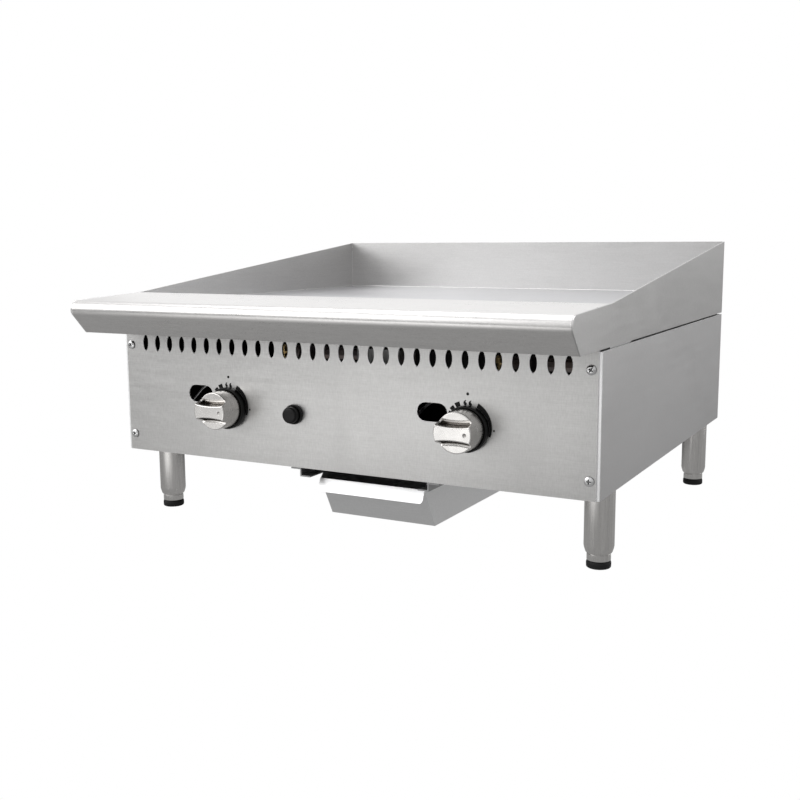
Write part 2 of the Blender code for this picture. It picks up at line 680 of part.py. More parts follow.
def pilot(name, x):
    y = behind(MANIFOLD_DEPTH)
    head = (x + PILOT_SIDE_X, behind(BURNER_RISE_END - BURNER_RADIUS - 0.012), BURNER_HEIGHT + 0.004)
    head_low = head[2] - 0.018
    profile = [(0, head_low), (0.004, head_low), (0.004, head_low + 0.008), (0.006, head_low + 0.010),
               (0.006, head[2]), (0.003, head[2] + 0.003), (0, head[2] + 0.003)]
    place(f"pilot_burner_{name}", turned(profile, "Z", (head[0], head[1], 0), 12), BRASS, rounded=True)
    start_z = MANIFOLD_HEIGHT + MANIFOLD_RADIUS - MANIFOLD_WALL / 2
    end_z = head_low - FIT
    start_x = x + PILOT_START_X
    route = [(start_x, y, start_z), (start_x + 0.002, y, start_z + 0.010),
             (start_x + 0.013, y, start_z + 0.021), (start_x + 0.031, y, start_z + 0.037),
             (start_x + 0.046, y + 0.020, start_z + 0.045),
             (x + PILOT_SIDE_X, y + 0.070, start_z + 0.040), (head[0], head[1] - 0.030, end_z - 0.022),
             (head[0], head[1] - 0.006, end_z - 0.018), (head[0], head[1], end_z - 0.010)]
    path = [*smooth(route, 3), Vector((head[0], head[1], end_z))]
    place(f"pilot_tube_{name}", swept(path, PILOT_TUBE_RADIUS, 6), ALUMINIUM, rounded=True)


def grip_half(offset):
    """Half the height of the knob's grip bar, which is narrowest at its middle."""
    return GRIP_WAIST + (GRIP_END - GRIP_WAIST) * (offset / KNOB_RADIUS) ** 2


def grip_outline(x):
    """Front view of the knob's grip bar: rounded ends, a narrow waist."""
    radius = KNOB_RADIUS - GRIP_INSET
    end_angle = math.degrees(math.asin(grip_half(radius) / radius))
    right = arc((x, CONTROL_HEIGHT), radius, -end_angle, end_angle, 6)
    reach = right[-1][0] - x
    offsets = [reach * (1 - 2 * step / 8) for step in range(1, 8)]
    waist = [(x + offset, CONTROL_HEIGHT + grip_half(offset)) for offset in offsets]
    left = arc((x, CONTROL_HEIGHT), radius, 180 - end_angle, 180 + end_angle, 6)
    lower = [(2 * x - a, 2 * CONTROL_HEIGHT - b) for a, b in waist]
    return right + waist + left + lower


def scoop(x, sign):
    """Front view of the hollow between the grip bar and the knob's upper or lower lip."""
    reach = 1.15 * KNOB_RADIUS
    offsets = [reach * (1 - 2 * step / 8) for step in range(9)]
    bar = [(x + a, CONTROL_HEIGHT + sign * (grip_half(a) + FIT / 2)) for a in offsets]
    lip_half = [GRIP_GROOVE - GROOVE_SAG * (1 - (a / reach) ** 2) for a in offsets]
    lip = [(x + a, CONTROL_HEIGHT + sign * half) for a, half in zip(offsets, lip_half)]
    return bar + lip[::-1]


def knob(name, x):
    centre = (x, PANEL_Y, CONTROL_HEIGHT)
    rear = -(BEZEL_HEIGHT - BEZEL_OVERLAP)
    front = rear - KNOB_LENGTH
    edge = 0.001
    profile = [(0, rear), (KNOB_RADIUS - edge, rear), (KNOB_RADIUS, rear - edge),
               (KNOB_RADIUS, front + edge), (KNOB_RADIUS - edge, front), (0, front)]
    piece = place(f"knob_{name}", turned(profile, "Y", centre, 48), SATIN_CHROME, rounded=True)
    for sign in (1, -1):
        cut(piece, prism(scoop(x, sign), "Y", behind(front - CUT), behind(front + SCOOP_DEPTH)))
    join(piece, prism(grip_outline(x), "Y", behind(front - GRIP_RISE), behind(front + SCOOP_DEPTH / 3)))
    dimple = turned([(0, front - GRIP_RISE - CUT), (0.0020, front - GRIP_RISE - CUT),
                     (0.0010, front - GRIP_RISE + 0.0010), (0, front - GRIP_RISE + 0.0010)], "Y",
                    (x + 0.0165, PANEL_Y, CONTROL_HEIGHT), 12)
    bore = rod(STEM_RADIUS + FIT, "Y", centre, rear - 0.0205, rear + CUT, 16)
    cut(piece, merged(dimple, bore))
    floor = -FIT - SHEET
    hole = STEM_HOLE_RADIUS
    ring = [(hole, -FIT), (BEZEL_RADIUS, -FIT), (BEZEL_RADIUS, -BEZEL_HEIGHT + 0.002),
            (BEZEL_RADIUS - 0.001, -BEZEL_HEIGHT), (KNOB_RADIUS + 0.0006, -BEZEL_HEIGHT),
            (KNOB_RADIUS + 0.0006, floor), (hole, floor)]
    place(f"knob_bezel_{name}", turned(ring, "Y", centre, 28), BLACK_PLASTIC, rounded=True)
    return piece


def controls():
    for name, x in KNOB_X.items():
        stem, pin = gas_valve(name, x)
        axis = (x, behind(0), CONTROL_HEIGHT)
        on_joint(f"knob_{name}_axis", axis, knob(name, x), stem)
        on_joint(f"valve_push_{name}_axis", axis, pin)
        burner(name, x)
        pilot(name, x)


def igniter():
    centre = (IGNITER_X, PANEL_Y, IGNITER_HEIGHT)
    bore = BUTTON_RADIUS + FIT
    barrel = bore + BARREL_WALL
    floor = 0.022
    shell = [(0, 0.058), (0.003, 0.058), (0.003, 0.050), (0.008, 0.048), (0.008, 0.034), (barrel, 0.032),
             (barrel, -FIT), (COLLAR_RADIUS, -FIT), (COLLAR_RADIUS, -COLLAR_HEIGHT + 0.001),
             (COLLAR_RADIUS - 0.001, -COLLAR_HEIGHT), (bore, -COLLAR_HEIGHT), (bore, floor), (0, floor)]
    place("igniter_body", turned(shell, "Y", centre, 20), BLACK_PLASTIC, rounded=True)
    back = 0.002
    edge = 0.0015
    profile = [(0, back), (BUTTON_RADIUS, back), (BUTTON_RADIUS, -BUTTON_PROUD + edge),
               (BUTTON_RADIUS - 0.0005, -BUTTON_PROUD + 0.0005), (BUTTON_RADIUS - edge, -BUTTON_PROUD),
               (0, -BUTTON_PROUD)]
    button = place("igniter_button", turned(profile, "Y", centre, 28), BLACK_PLASTIC, rounded=True)
    on_joint("igniter_button_axis", (IGNITER_X, behind(0), IGNITER_HEIGHT), button)
    spring = coil(0.0060, 0.0006, back + FIT, floor - FIT, 5)
    place("igniter_spring", shifted(spring, centre), SPRING_STEEL, rounded=True)
    nut_front = SHEET + FIT
    nut = hex_bar(0.0175, (IGNITER_X, IGNITER_HEIGHT), "Y", behind(nut_front), behind(nut_front + 0.005))
    nut_piece = place("igniter_nut", nut, BLACK_PLASTIC)
    cut(nut_piece, rod(barrel + FIT, "Y", centre, nut_front - CUT, nut_front + 0.005 + CUT, 20))


def panel_screws():
    for index, (x, z) in enumerate(screw_places()):
        head = -FIT
        face = head - 0.0026
        centre = (x, PANEL_Y, z)
        profile = [(0, face), (0.0035, face + 0.0002), (0.0052, face + 0.0010),
                   (SCREW_HEAD_RADIUS, head - 0.0004), (SCREW_HEAD_RADIUS, head), (SCREW_RADIUS, head),
                   (SCREW_RADIUS, 0.009), (0.0012, 0.011), (0, 0.011)]
        side = "left" if x < 0 else "right"
        level = "lower" if z == SCREW_HEIGHTS[0] else "upper"
        name = f"panel_screw_{side}_{level}"
        screw = place(name, turned(profile, "Y", centre, 16), SCREW_STEEL, rounded=True)
        slot = 0.0006
        reach = 0.0030
        arms = [(slot, reach), (-slot, reach), (-slot, slot), (-reach, slot), (-reach, -slot),
                (-slot, -slot), (-slot, -reach), (slot, -reach), (slot, -slot), (reach, -slot),
                (reach, slot), (slot, slot)]
        cross = Matrix.Rotation(math.radians(20 + 35 * index), 2)
        turned_arms = [cross @ Vector(point) for point in arms]
        outline = [(x + p.x, z + p.y) for p in turned_arms]
        cut(screw, prism(outline, "Y", behind(face - CUT), behind(face + 0.0014)))


def drawer_walls():
    half = DRAWER_WIDTH / 2
    return DRAWER_X - half, DRAWER_X + half


def face_depth(height):
    """Depth of the drawer's leaning front at a height."""
    return DRAWER_FACE + DRAWER_LEAN * (DRAWER_FRONT_TOP - height) / (DRAWER_FRONT_TOP - DRAWER_FLOOR)


def grease_drawer():
    left, right = drawer_walls()
    rear = DRAWER_FACE + DRAWER_LENGTH
    rim_front = DRAWER_FACE + DRAWER_RIM - DRAWER_FRONT_TOP
    outline = [(face_depth(DRAWER_FLOOR), DRAWER_FLOOR), (DRAWER_FACE, DRAWER_FRONT_TOP),
               (rim_front, DRAWER_RIM), (rear, DRAWER_RIM), (rear, DRAWER_FLOOR)]
    drawer = place("grease_drawer", prism(world(outline), "X", left, right), STAINLESS)
    slope = math.atan2(DRAWER_LEAN, DRAWER_FRONT_TOP - DRAWER_FLOOR)
    wall = DRAWER_SHEET / math.cos(slope)
    floor = DRAWER_FLOOR + DRAWER_SHEET
    hollow = [(face_depth(floor) + wall, floor), (DRAWER_FACE + wall, DRAWER_FRONT_TOP),
              (DRAWER_FACE - 0.010, DRAWER_FRONT_TOP), (DRAWER_FACE - 0.010, DRAWER_RIM + CUT),
              (rear - DRAWER_SHEET, DRAWER_RIM + CUT), (rear - DRAWER_SHEET, floor)]
    cut(drawer, prism(world(hollow), "X", left + DRAWER_SHEET, right - DRAWER_SHEET))
    reach = RAIL_REACH - HANGER_SHEET - 2 * FIT
    for start, end in ((left - reach, left + DRAWER_SHEET / 2), (right - DRAWER_SHEET / 2, right + reach)):
        join(drawer, block((start, behind(rim_front + 0.003), DRAWER_RIM - DRAWER_SHEET),
                           (end, behind(rear - 0.001), DRAWER_RIM - FIT / 4)))
    join(drawer, drawer_lip(left, right, wall))
    on_joint("grease_drawer_axis", (DRAWER_X, behind(DRAWER_FACE), DRAWER_RIM), drawer)


def drawer_lip(left, right, wall):
    """The pull: the front's top edge folded forwards and down, with rounded lower corners."""
    radius = 0.005
    half = (right - left) / 2
    outline = [(half, 0.001), (-half, 0.001)]
    outline += arc((-half + radius, -DRAWER_LIP + radius), radius, 180, 270, 4)
    outline += arc((half - radius, -DRAWER_LIP + radius), radius, 270, 360, 4)
    lip = prism(outline, "Y", -DRAWER_SHEET, 0)
    turn = Matrix.Rotation(math.radians(-DRAWER_LIP_ANGLE), 4, "X")
    top = (DRAWER_X, behind(DRAWER_FACE + wall / 2), DRAWER_FRONT_TOP - 0.0008)
    bmesh.ops.transform(lip, matrix=Matrix.Translation(top) @ turn, verts=lip.verts)
    return lip


def drawer_rails():
    left, right = drawer_walls()
    clearance = 0.0015
    for name, side, wall in (("left", -1, left), ("right", 1, right)):
        outer = wall + side * RAIL_REACH
        web = outer - side * HANGER_SHEET
        inner = wall + side * clearance
        far = outer + side * HANGER_FLANGE
        shelf = RAIL_BOTTOM + HANGER_SHEET
        ledge = RAIL_TOP - HANGER_SHEET
        outline = [(inner, RAIL_BOTTOM), (outer, RAIL_BOTTOM), (outer, ledge), (far, ledge), (far, RAIL_TOP),
                   (web, RAIL_TOP), (web, shelf), (inner, shelf)]
        rear = behind(DRAWER_FACE + DRAWER_LENGTH + 0.006)
        place(f"drawer_rail_{name}", prism(outline, "Y", behind(FIT), rear), STAINLESS)


def leg_places():
    places = {}
    for row, depth in LEG_DEPTHS.items():
        for name, side in (("left", -1), ("right", 1)):
            places[f"{row}_{name}"] = (side * (HALF - LEG_INSET), depth)
    return places


def legs():
    top = LEG_HEIGHT - FIT
    stud_top = LEG_HEIGHT + SHEET + 0.007
    bore = FOOT_RADIUS + FIT
    taper = LEG_MOUTH + 0.007
    pocket = LEG_MOUTH + FOOT_ENGAGED + 0.012
    for name, (x, depth) in leg_places().items():
        centre = (x, behind(depth), 0)
        profile = [(0, pocket), (bore, pocket), (bore, LEG_MOUTH), (bore + 0.0012, LEG_MOUTH),
                   (LEG_RADIUS - 0.0006, taper - 0.001), (LEG_RADIUS, taper), (LEG_RADIUS, top - 0.0005),
                   (LEG_RADIUS - 0.0005, top), (STUD_RADIUS, top), (STUD_RADIUS, stud_top), (0, stud_top)]
        place(f"leg_{name}", turned(profile, "Z", centre, 20), STAINLESS, rounded=True)
        seat = PAD_HEIGHT + FIT
        foot = [(0, 0.004), (0.005, 0.004), (0.005, seat), (FOOT_RADIUS - 0.0008, seat),
                (FOOT_RADIUS, seat + 0.0008), (FOOT_RADIUS, LEG_MOUTH + FOOT_ENGAGED),
                (0, LEG_MOUTH + FOOT_ENGAGED)]
        foot_piece = place(f"levelling_foot_{name}", turned(foot, "Z", centre, 20), STAINLESS, rounded=True)
        pad = [(0, 0), (FOOT_RADIUS - 0.0012, 0), (FOOT_RADIUS + 0.0004, 0.0015),
               (FOOT_RADIUS + 0.0006, 0.006), (FOOT_RADIUS, PAD_HEIGHT), (0.005 + FIT, PAD_HEIGHT),
               (0.005 + FIT, 0.004 - FIT), (0, 0.004 - FIT)]
        pad_piece = place(f"foot_pad_{name}", turned(pad, "Z", centre, 20), RUBBER, rounded=True)
        on_joint(f"levelling_foot_{name}_axis", (x, behind(depth), LEG_MOUTH), foot_piece, pad_piece)


def burner_support():
    half = INLET_X - MANIFOLD_RADIUS - 0.012
    low = (-half, behind(SUPPORT_DEPTH), LEG_HEIGHT + SHEET + FIT)
    high = (half, behind(SUPPORT_DEPTH + SUPPORT_WIDTH), BURNER_HEIGHT - BURNER_RADIUS - FIT)
    folded("burner_support", low, high, ("y-", "z+", "z-"), SHEET, BLACK_PIPE)


control_panel()
casing()
bottom_pan()
splash_guards()
front_deck()
grease_trough()
griddle_plate()
gas_manifold()
controls()
igniter()
panel_screws()
grease_drawer()
drawer_rails()
legs()
burner_support()
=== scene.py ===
"""Looks of a countertop gas griddle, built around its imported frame.

Metres, +Z up, the control panel faces -Y. Places come from the frame's own pieces.
"""

import math

import bmesh
import bpy
from mathutils import Matrix, Vector


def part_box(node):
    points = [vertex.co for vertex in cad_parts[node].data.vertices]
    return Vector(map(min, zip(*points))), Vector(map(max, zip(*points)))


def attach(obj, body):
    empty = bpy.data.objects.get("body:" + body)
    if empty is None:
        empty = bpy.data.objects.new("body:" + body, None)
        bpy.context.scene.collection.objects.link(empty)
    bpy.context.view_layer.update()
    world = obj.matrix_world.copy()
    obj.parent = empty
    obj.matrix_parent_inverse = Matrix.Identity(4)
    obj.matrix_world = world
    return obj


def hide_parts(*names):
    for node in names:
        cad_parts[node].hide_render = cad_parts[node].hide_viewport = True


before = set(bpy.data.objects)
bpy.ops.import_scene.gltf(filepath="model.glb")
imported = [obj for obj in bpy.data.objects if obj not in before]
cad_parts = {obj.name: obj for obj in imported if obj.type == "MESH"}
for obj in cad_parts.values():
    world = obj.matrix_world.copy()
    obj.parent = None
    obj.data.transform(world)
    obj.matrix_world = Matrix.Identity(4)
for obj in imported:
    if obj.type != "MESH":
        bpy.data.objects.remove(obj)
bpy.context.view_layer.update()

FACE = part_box("control_panel")[0].y
GUARD_SHEET = 0.002
SHEET = 0.0015
FIT = 0.0004
SIDES = ("left", "right")

# Front deck and its nose
DECK_SLOPE = 0.0395
NOSE_RADIUS = 0.012
NOSE_FOOT_BACK = 0.0266
NOSE_HEM = 0.014
REAR_FLANGE = 0.028
SHEET_BEND = 0.0026
GUARD_BEND = 0.0015
ARC_STEPS = 14

# Knob, bezel and dial
GRIP_RISE = 0.010
SCOOP_DEPTH = 0.0095
GRIP_WAIST = 0.0083
GRIP_FLARE = 0.0024
GRIP_INSET = 0.0004
GRIP_DIMPLE_X = 0.0165
LIP_EDGE = 0.0138
LIP_SAG = 0.0016
WEB_DEPTH = 0.0026
STEM_BORE = 0.0044
STEM_BORE_DEPTH = 0.0205
STEM_HOLE = 0.007
BEZEL_GAP = 0.0006
CAST_OVERLAP = 0.002
CAST_VOXEL = 0.0003
DOT_HEIGHT = 0.043
DOT_RADIUS = 0.0019
PRINT_FACE = 0.00012
PRINT_BACK = 0.00001

# Igniter: its collar, and the shell behind the panel
COLLAR_RADIUS = 0.0135
BARREL_WALL = 0.0012
BARREL_END = 0.032
BUTTON_WELL = 0.022
TERMINAL_RADIUS = 0.003
TERMINAL_FOOT = 0.050
NECK_RADIUS = 0.008
NECK_START = 0.034
NECK_END = 0.048

# Panel screws
SCREW_RADIUS = 0.0061
SCREW_RISE = 0.0027
SHANK_RADIUS = 0.0024
RECESS_REACH = 0.0031
RECESS_HALF = 0.00062
RECESS_FLOOR = 0.0010

# Legs and levelling feet
FOOT_BORE = 0.0154
LEG_POCKET = 0.046
STUD_RADIUS = 0.0048
FOOT_SEAT = 0.0096
FOOT_NECK = 0.005
GROOVE_DEPTH = 0.0006
PAD_BORE = 0.0054
PAD_FLOOR = 0.0036
LOWEST_FOOT = -0.0205


# ---------------------------------------------------------------- camera and studio


def aim_camera():
    """Stands right of the front corner, a little above the deck, and looks slightly down."""
    data = bpy.data.cameras.new("camera")
    data.sensor_width = 36
    data.lens = 47.19
    data.clip_start = 0.05
    camera = bpy.data.objects.new("camera", data)
    bpy.context.scene.collection.objects.link(camera)
    yaw, pitch, roll = 0.497, -0.154, -0.007
    ahead = Vector((-math.sin(yaw) * math.cos(pitch), math.cos(yaw) * math.cos(pitch), math.sin(pitch)))
    level = Vector((math.cos(yaw), math.sin(yaw), 0))
    above = level.cross(ahead)
    right = level * math.cos(roll) + above * math.sin(roll)
    up = above * math.cos(roll) - level * math.sin(roll)
    turn = Matrix((right, up, -ahead)).transposed().to_4x4()
    camera.matrix_world = Matrix.Translation((0.7233, FACE - 1.1541, 0.4069)) @ turn
    bpy.context.scene.camera = camera


def softbox(name, place, target, width, height, power):
    data = bpy.data.lights.new(name, "AREA")
    data.shape = "RECTANGLE"
    data.size = width
    data.size_y = height
    data.energy = power
    light = bpy.data.objects.new(name, data)
    bpy.context.scene.collection.objects.link(light)
    light.location = place
    light.rotation_euler = (Vector(target) - Vector(place)).to_track_quat("-Z", "Y").to_euler()


def camera_choice(tree, reflected, shown):
    """One shader for reflections and light, another for what the camera sees directly."""
    ray = tree.nodes.new("ShaderNodeLightPath")
    choice = tree.nodes.new("ShaderNodeMixShader")
    tree.links.new(ray.outputs["Is Camera Ray"], choice.inputs[0])
    tree.links.new(reflected, choice.inputs[1])
    tree.links.new(shown, choice.inputs[2])
    return choice.outputs[0]


def surround():
    """White to the camera; reflections see it darker below the horizon and towards the right."""
    world = bpy.data.worlds.new("surround")
    bpy.context.scene.world = world
    world.use_nodes = True
    tree = world.node_tree
    nodes, links = tree.nodes, tree.links
    nodes.clear()
    out = nodes.new("ShaderNodeOutputWorld")
    direction = nodes.new("ShaderNodeTexCoord")
    axes = nodes.new("ShaderNodeSeparateXYZ")
    links.new(direction.outputs["Generated"], axes.inputs[0])
    height = nodes.new("ShaderNodeValToRGB")
    ramp = height.color_ramp.elements
    ramp[0].position = 0.30
    ramp[0].color = (0.30, 0.30, 0.30, 1)
    ramp[1].position = 0.75
    ramp[1].color = (1.0, 1.0, 1.01, 1)
    horizon = ramp.new(0.5)
    horizon.color = (0.95, 0.95, 0.95, 1)
    lifted = spread(tree, axes.outputs["Z"], -1, 1)
    links.new(lifted, height.inputs[0])
    side = spread(tree, axes.outputs["X"], -0.6, 0.8, 1.0, 0.55)
    seen = nodes.new("ShaderNodeBackground")
    links.new(height.outputs[0], seen.inputs["Color"])
    links.new(side, seen.inputs["Strength"])
    white = nodes.new("ShaderNodeBackground")
    white.inputs["Color"].default_value = (1, 1, 1, 1)
    links.new(camera_choice(tree, seen.outputs[0], white.outputs[0]), out.inputs["Surface"])


def pool(tree, centre, from_min, from_max, to_min, to_max):
    """Brightness that changes smoothly with the distance from a point on the floor."""
    place = tree.nodes.new("ShaderNodeTexCoord")
    away = tree.nodes.new("ShaderNodeVectorMath")
    away.operation = "DISTANCE"
    away.inputs[1].default_value = centre
    tree.links.new(place.outputs["Object"], away.inputs[0])
    brightness = spread(tree, away.outputs["Value"], from_min, from_max, to_min, to_max)
    brightness.node.interpolation_type = "SMOOTHSTEP"
    return brightness


def stage_floor():
    """Plain pale floor, low enough for the levelling feet at full reach. The camera sees it white;
    reflections and bounce light see it glow, with a painted pool of light in front to the left and painted
    shade behind.
    """
    bm = bmesh.new()
    bmesh.ops.create_circle(bm, cap_ends=True, segments=96, radius=30,
                            matrix=Matrix.Translation((0, 0, LOWEST_FOOT)))
    floor = plain_object("floor", bm)
    paint = bpy.data.materials.new("pale_floor")
    paint.use_nodes = True
    tree = paint.node_tree
    tree.nodes.remove(tree.nodes["Principled BSDF"])
    # Painted light and shade in the floor's glow: a bright pool in front to the left, a dim one behind to the
    # left.
    lit = pool(tree, (-0.35, -1.3, 0), 0.92, 0.0, 0.38, 2.0)
    shaded = pool(tree, (-0.75, 1.3, 0), 0.7, 1.5, 0.12, 1.0)
    dim = tree.nodes.new("ShaderNodeEmission")
    tree.links.new(maths(tree, "MULTIPLY", lit, shaded), dim.inputs["Strength"])
    bright = tree.nodes.new("ShaderNodeEmission")
    surface = camera_choice(tree, dim.outputs[0], bright.outputs[0])
    tree.links.new(surface, tree.nodes["Material Output"].inputs["Surface"])
    floor.data.materials.append(paint)


def studio():
    view = bpy.context.scene.view_settings
    view.view_transform = "Standard"
    view.look = "None"
    surround()
    stage_floor()
    softbox("overhead", (-0.3, 0.2, 2.2), (0, 0, 0.3), 2.4, 2.0, 30)
    softbox("front_left", (-1.9, -2.0, 1.5), (0, 0, 0.2), 2.2, 2.0, 25)
    softbox("behind", (-1.2, 2.6, 1.0), (0, 0, 0.35), 3.0, 1.6, 3)
    softbox("right_rear", (2.1, 1.7, 0.45), (0.3, 0, 0.1), 0.5, 1.2, 7)


# ---------------------------------------------------------------- shape helpers


def plain_object(name, bm, smooth_angle=35):
    bmesh.ops.recalc_face_normals(bm, faces=bm.faces)
    mesh = bpy.data.meshes.new(name)
    bm.to_mesh(mesh)
    bm.free()
    mesh.shade_smooth()
    mesh.set_sharp_from_angle(angle=math.radians(smooth_angle))
    obj = bpy.data.objects.new(name, mesh)
    bpy.context.scene.collection.objects.link(obj)
    return obj


def fit_piece(obj, look, body, slot, *nodes):
    """Gives a piece its material and body, and hides the frame's pieces that it stands for."""
    obj.data.materials.clear()
    obj.data.materials.append(look)
    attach(obj, body)
    if nodes:
        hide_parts(*nodes)
    return obj


def soften(obj, width, segments=2, angle=40):
    """Rounds the sharp edges of a piece."""
    weld = obj.modifiers.new("weld", "WELD")
    weld.merge_threshold = 0.000005
    bevel = obj.modifiers.new("soft_edges", "BEVEL")
    bevel.width = width
    bevel.segments = segments
    bevel.limit_method = "ANGLE"
    bevel.angle_limit = math.radians(angle)
    bevel.use_clamp_overlap = True
    bevel.harden_normals = True
    return obj


def block(low, high):
    bm = bmesh.new()
    size = [h - l for l, h in zip(low, high)]
    middle = [(h + l) / 2 for l, h in zip(low, high)]
    bmesh.ops.create_cube(bm, size=1, matrix=Matrix.Translation(middle) @ Matrix.Diagonal((*size, 1)))
    return bm


def prism(outline, axis, low, high):
    """An outline extruded along an axis; its points are the other two coordinates, in X, Y, Z order."""
    bm = bmesh.new()
    index = "XYZ".index(axis)
    rings = []
    for level in (low, high):
        ring = []
        for first, second in outline:
            point = [first, second]
            point.insert(index, level)
            ring.append(bm.verts.new(point))
        rings.append(ring)
    bm.faces.new(rings[0])
    bm.faces.new(rings[1][::-1])
    count = len(outline)
    for i in range(count):
        j = (i + 1) % count
        bm.faces.new((rings[0][i], rings[0][j], rings[1][j], rings[1][i]))
    return bm


def turned(profile, axis, centre, segments=64):
    """A profile of (radius, place along the axis) turned once about the axis."""
    bm = bmesh.new()
    along = Vector((0, 1, 0)) if axis == "Y" else Vector((0, 0, 1))
    side = Vector((1, 0, 0))
    other = along.cross(side)
    rings = []
    for radius, place in profile:
        middle = Vector(centre) + along * place
        if radius < 1e-7:
            rings.append([bm.verts.new(middle)])
            continue
        ring = []
        for step in range(segments):
            angle = 2 * math.pi * step / segments
            outward = side * math.cos(angle) + other * math.sin(angle)
            ring.append(bm.verts.new(middle + outward * radius))
        rings.append(ring)
    closed = profile[0][0] > 1e-7
    pairs = list(zip(rings, rings[1:]))
    if closed:
        pairs.append((rings[-1], rings[0]))
    for lower, upper in pairs:
        for i in range(segments):
            j = (i + 1) % segments
            corners = [lower[i % len(lower)], lower[j % len(lower)],
                       upper[j % len(upper)], upper[i % len(upper)]]
            unique = list(dict.fromkeys(corners))
            if len(unique) > 2:
                bm.faces.new(unique)
    return bm


def rounded(corners, steps=5):
    """A path whose corners are (a, b, radius): each corner becomes an arc."""
    points = []
    count = len(corners)
    for i, (a, b, radius) in enumerate(corners):
        here = Vector((a, b))
        if radius <= 0 or i in (0, count - 1):
            points.append((a, b))
            continue
        before = Vector(corners[i - 1][:2]) - here
        after = Vector(corners[i + 1][:2]) - here
        half_angle = before.angle(after) / 2
        reach = radius / math.tan(half_angle)
        reach = min(reach, 0.49 * before.length, 0.49 * after.length)
        radius = reach * math.tan(half_angle)
        start = here + before.normalized() * reach
        end = here + after.normalized() * reach
        inward = (before.normalized() + after.normalized()).normalized()
        centre = here + inward * (radius / math.sin(half_angle))
        first, last = start - centre, end - centre
        sweep = first.angle_signed(last)
        for step in range(steps + 1):
            turn = Matrix.Rotation(-sweep * step / steps, 2)
            points.append(tuple(centre + turn @ first))
    return points


def sheet_outline(path, thickness):
    """Outline of a sheet whose outer face follows a path; the sheet lies to the path's right."""
    inner = []
    points = [Vector(point) for point in path]
    for i, point in enumerate(points):
        ahead = points[min(i + 1, len(points) - 1)] - point
        back = point - points[max(i - 1, 0)]
        ahead = ahead.normalized() if ahead.length > 0 else back.normalized()
        back = back.normalized() if back.length > 0 else ahead
        run = (ahead + back).normalized()
        normal = Vector((run.y, -run.x))
        mitre = max(0.3, normal.dot(Vector((ahead.y, -ahead.x))))
        inner.append(tuple(point + normal * thickness / mitre))
    return list(path) + inner[::-1]


def boolean(obj, operation, *tools):
    """Joins or cuts with tool pieces, which are used up."""
    for tool in tools:
        modifier = obj.modifiers.new(operation.lower(), "BOOLEAN")
        modifier.operation = operation
        modifier.solver = "EXACT"
        modifier.object = tool
    apply_all(obj)
    for tool in tools:
        bpy.data.objects.remove(tool, do_unlink=True)
    return obj


def apply_all(obj):
    """Bakes the modifiers into the piece's own mesh."""
    depsgraph = bpy.context.evaluated_depsgraph_get()
    depsgraph.update()
    mesh = bpy.data.meshes.new_from_object(obj.evaluated_get(depsgraph))
    obj.modifiers.clear()
    old = obj.data
    obj.data = mesh
    bpy.data.meshes.remove(old)
    mesh.name = obj.name


# ---------------------------------------------------------------- finishes


def node_group(name, inputs, outputs):
    tree = bpy.data.node_groups.new(name, "ShaderNodeTree")
    for label, kind, value in inputs:
        socket = tree.interface.new_socket(label, in_out="INPUT", socket_type=kind)
        socket.default_value = value
    for label, kind in outputs:
        tree.interface.new_socket(label, in_out="OUTPUT", socket_type=kind)
    return tree, tree.nodes.new("NodeGroupInput"), tree.nodes.new("NodeGroupOutput")


def scaled_place(tree, scale_socket):
    """The piece's own coordinates stretched by a vector socket."""
    place = tree.nodes.new("ShaderNodeTexCoord")
    stretch = tree.nodes.new("ShaderNodeVectorMath")
    stretch.operation = "MULTIPLY"
    tree.links.new(place.outputs["Object"], stretch.inputs[0])
    tree.links.new(scale_socket, stretch.inputs[1])
    return stretch.outputs[0]


def cloud(tree, vector, scale, detail, distortion=0.0):
    noise = tree.nodes.new("ShaderNodeTexNoise")
    noise.inputs["Scale"].default_value = scale
    noise.inputs["Detail"].default_value = detail
    noise.inputs["Roughness"].default_value = 0.6
    noise.inputs["Distortion"].default_value = distortion
    tree.links.new(vector, noise.inputs["Vector"])
    return noise.outputs["Fac"]


def maths(tree, operation, first, second):
    node = tree.nodes.new("ShaderNodeMath")
    node.operation = operation
    for socket, value in zip(node.inputs, (first, second)):
        if isinstance(value, (int, float)):
            socket.default_value = value
        else:
            tree.links.new(value, socket)
    return node.outputs[0]


def spread(tree, value, low, high, to_low=0.0, to_high=1.0):
    node = tree.nodes.new("ShaderNodeMapRange")
    tree.links.new(value, node.inputs["Value"])
    for label, number in (("From Min", low), ("From Max", high), ("To Min", to_low), ("To Max", to_high)):
        node.inputs[label].default_value = number
    return node.outputs[0]


def blend_colour(tree, factor, first, second):
    node = tree.nodes.new("ShaderNodeMix")
    node.data_type = "RGBA"
    tree.links.new(factor, node.inputs[0])
    for socket, colour in ((node.inputs[6], first), (node.inputs[7], second)):
        if isinstance(colour, tuple):
            socket.default_value = (*colour, 1)
        else:
            tree.links.new(colour, socket)
    return node.outputs[2]


def grain_group():
    """Fine streaks of a brushed or ground surface."""
    tree, given, out = node_group("brushed_grain", [("Run", "NodeSocketVector", (40, 900, 900))],
                                  [("Streaks", "NodeSocketFloat"), ("Height", "NodeSocketFloat")])
    place = scaled_place(tree, given.outputs["Run"])
    fine = cloud(tree, place, 1.0, 3)
    broad = cloud(tree, place, 0.22, 2)
    streaks = maths(tree, "ADD", maths(tree, "MULTIPLY", fine, 0.6), maths(tree, "MULTIPLY", broad, 0.4))
    tree.links.new(spread(tree, streaks, 0.3, 0.7), out.inputs["Streaks"])
    tree.links.new(fine, out.inputs["Height"])
    return tree


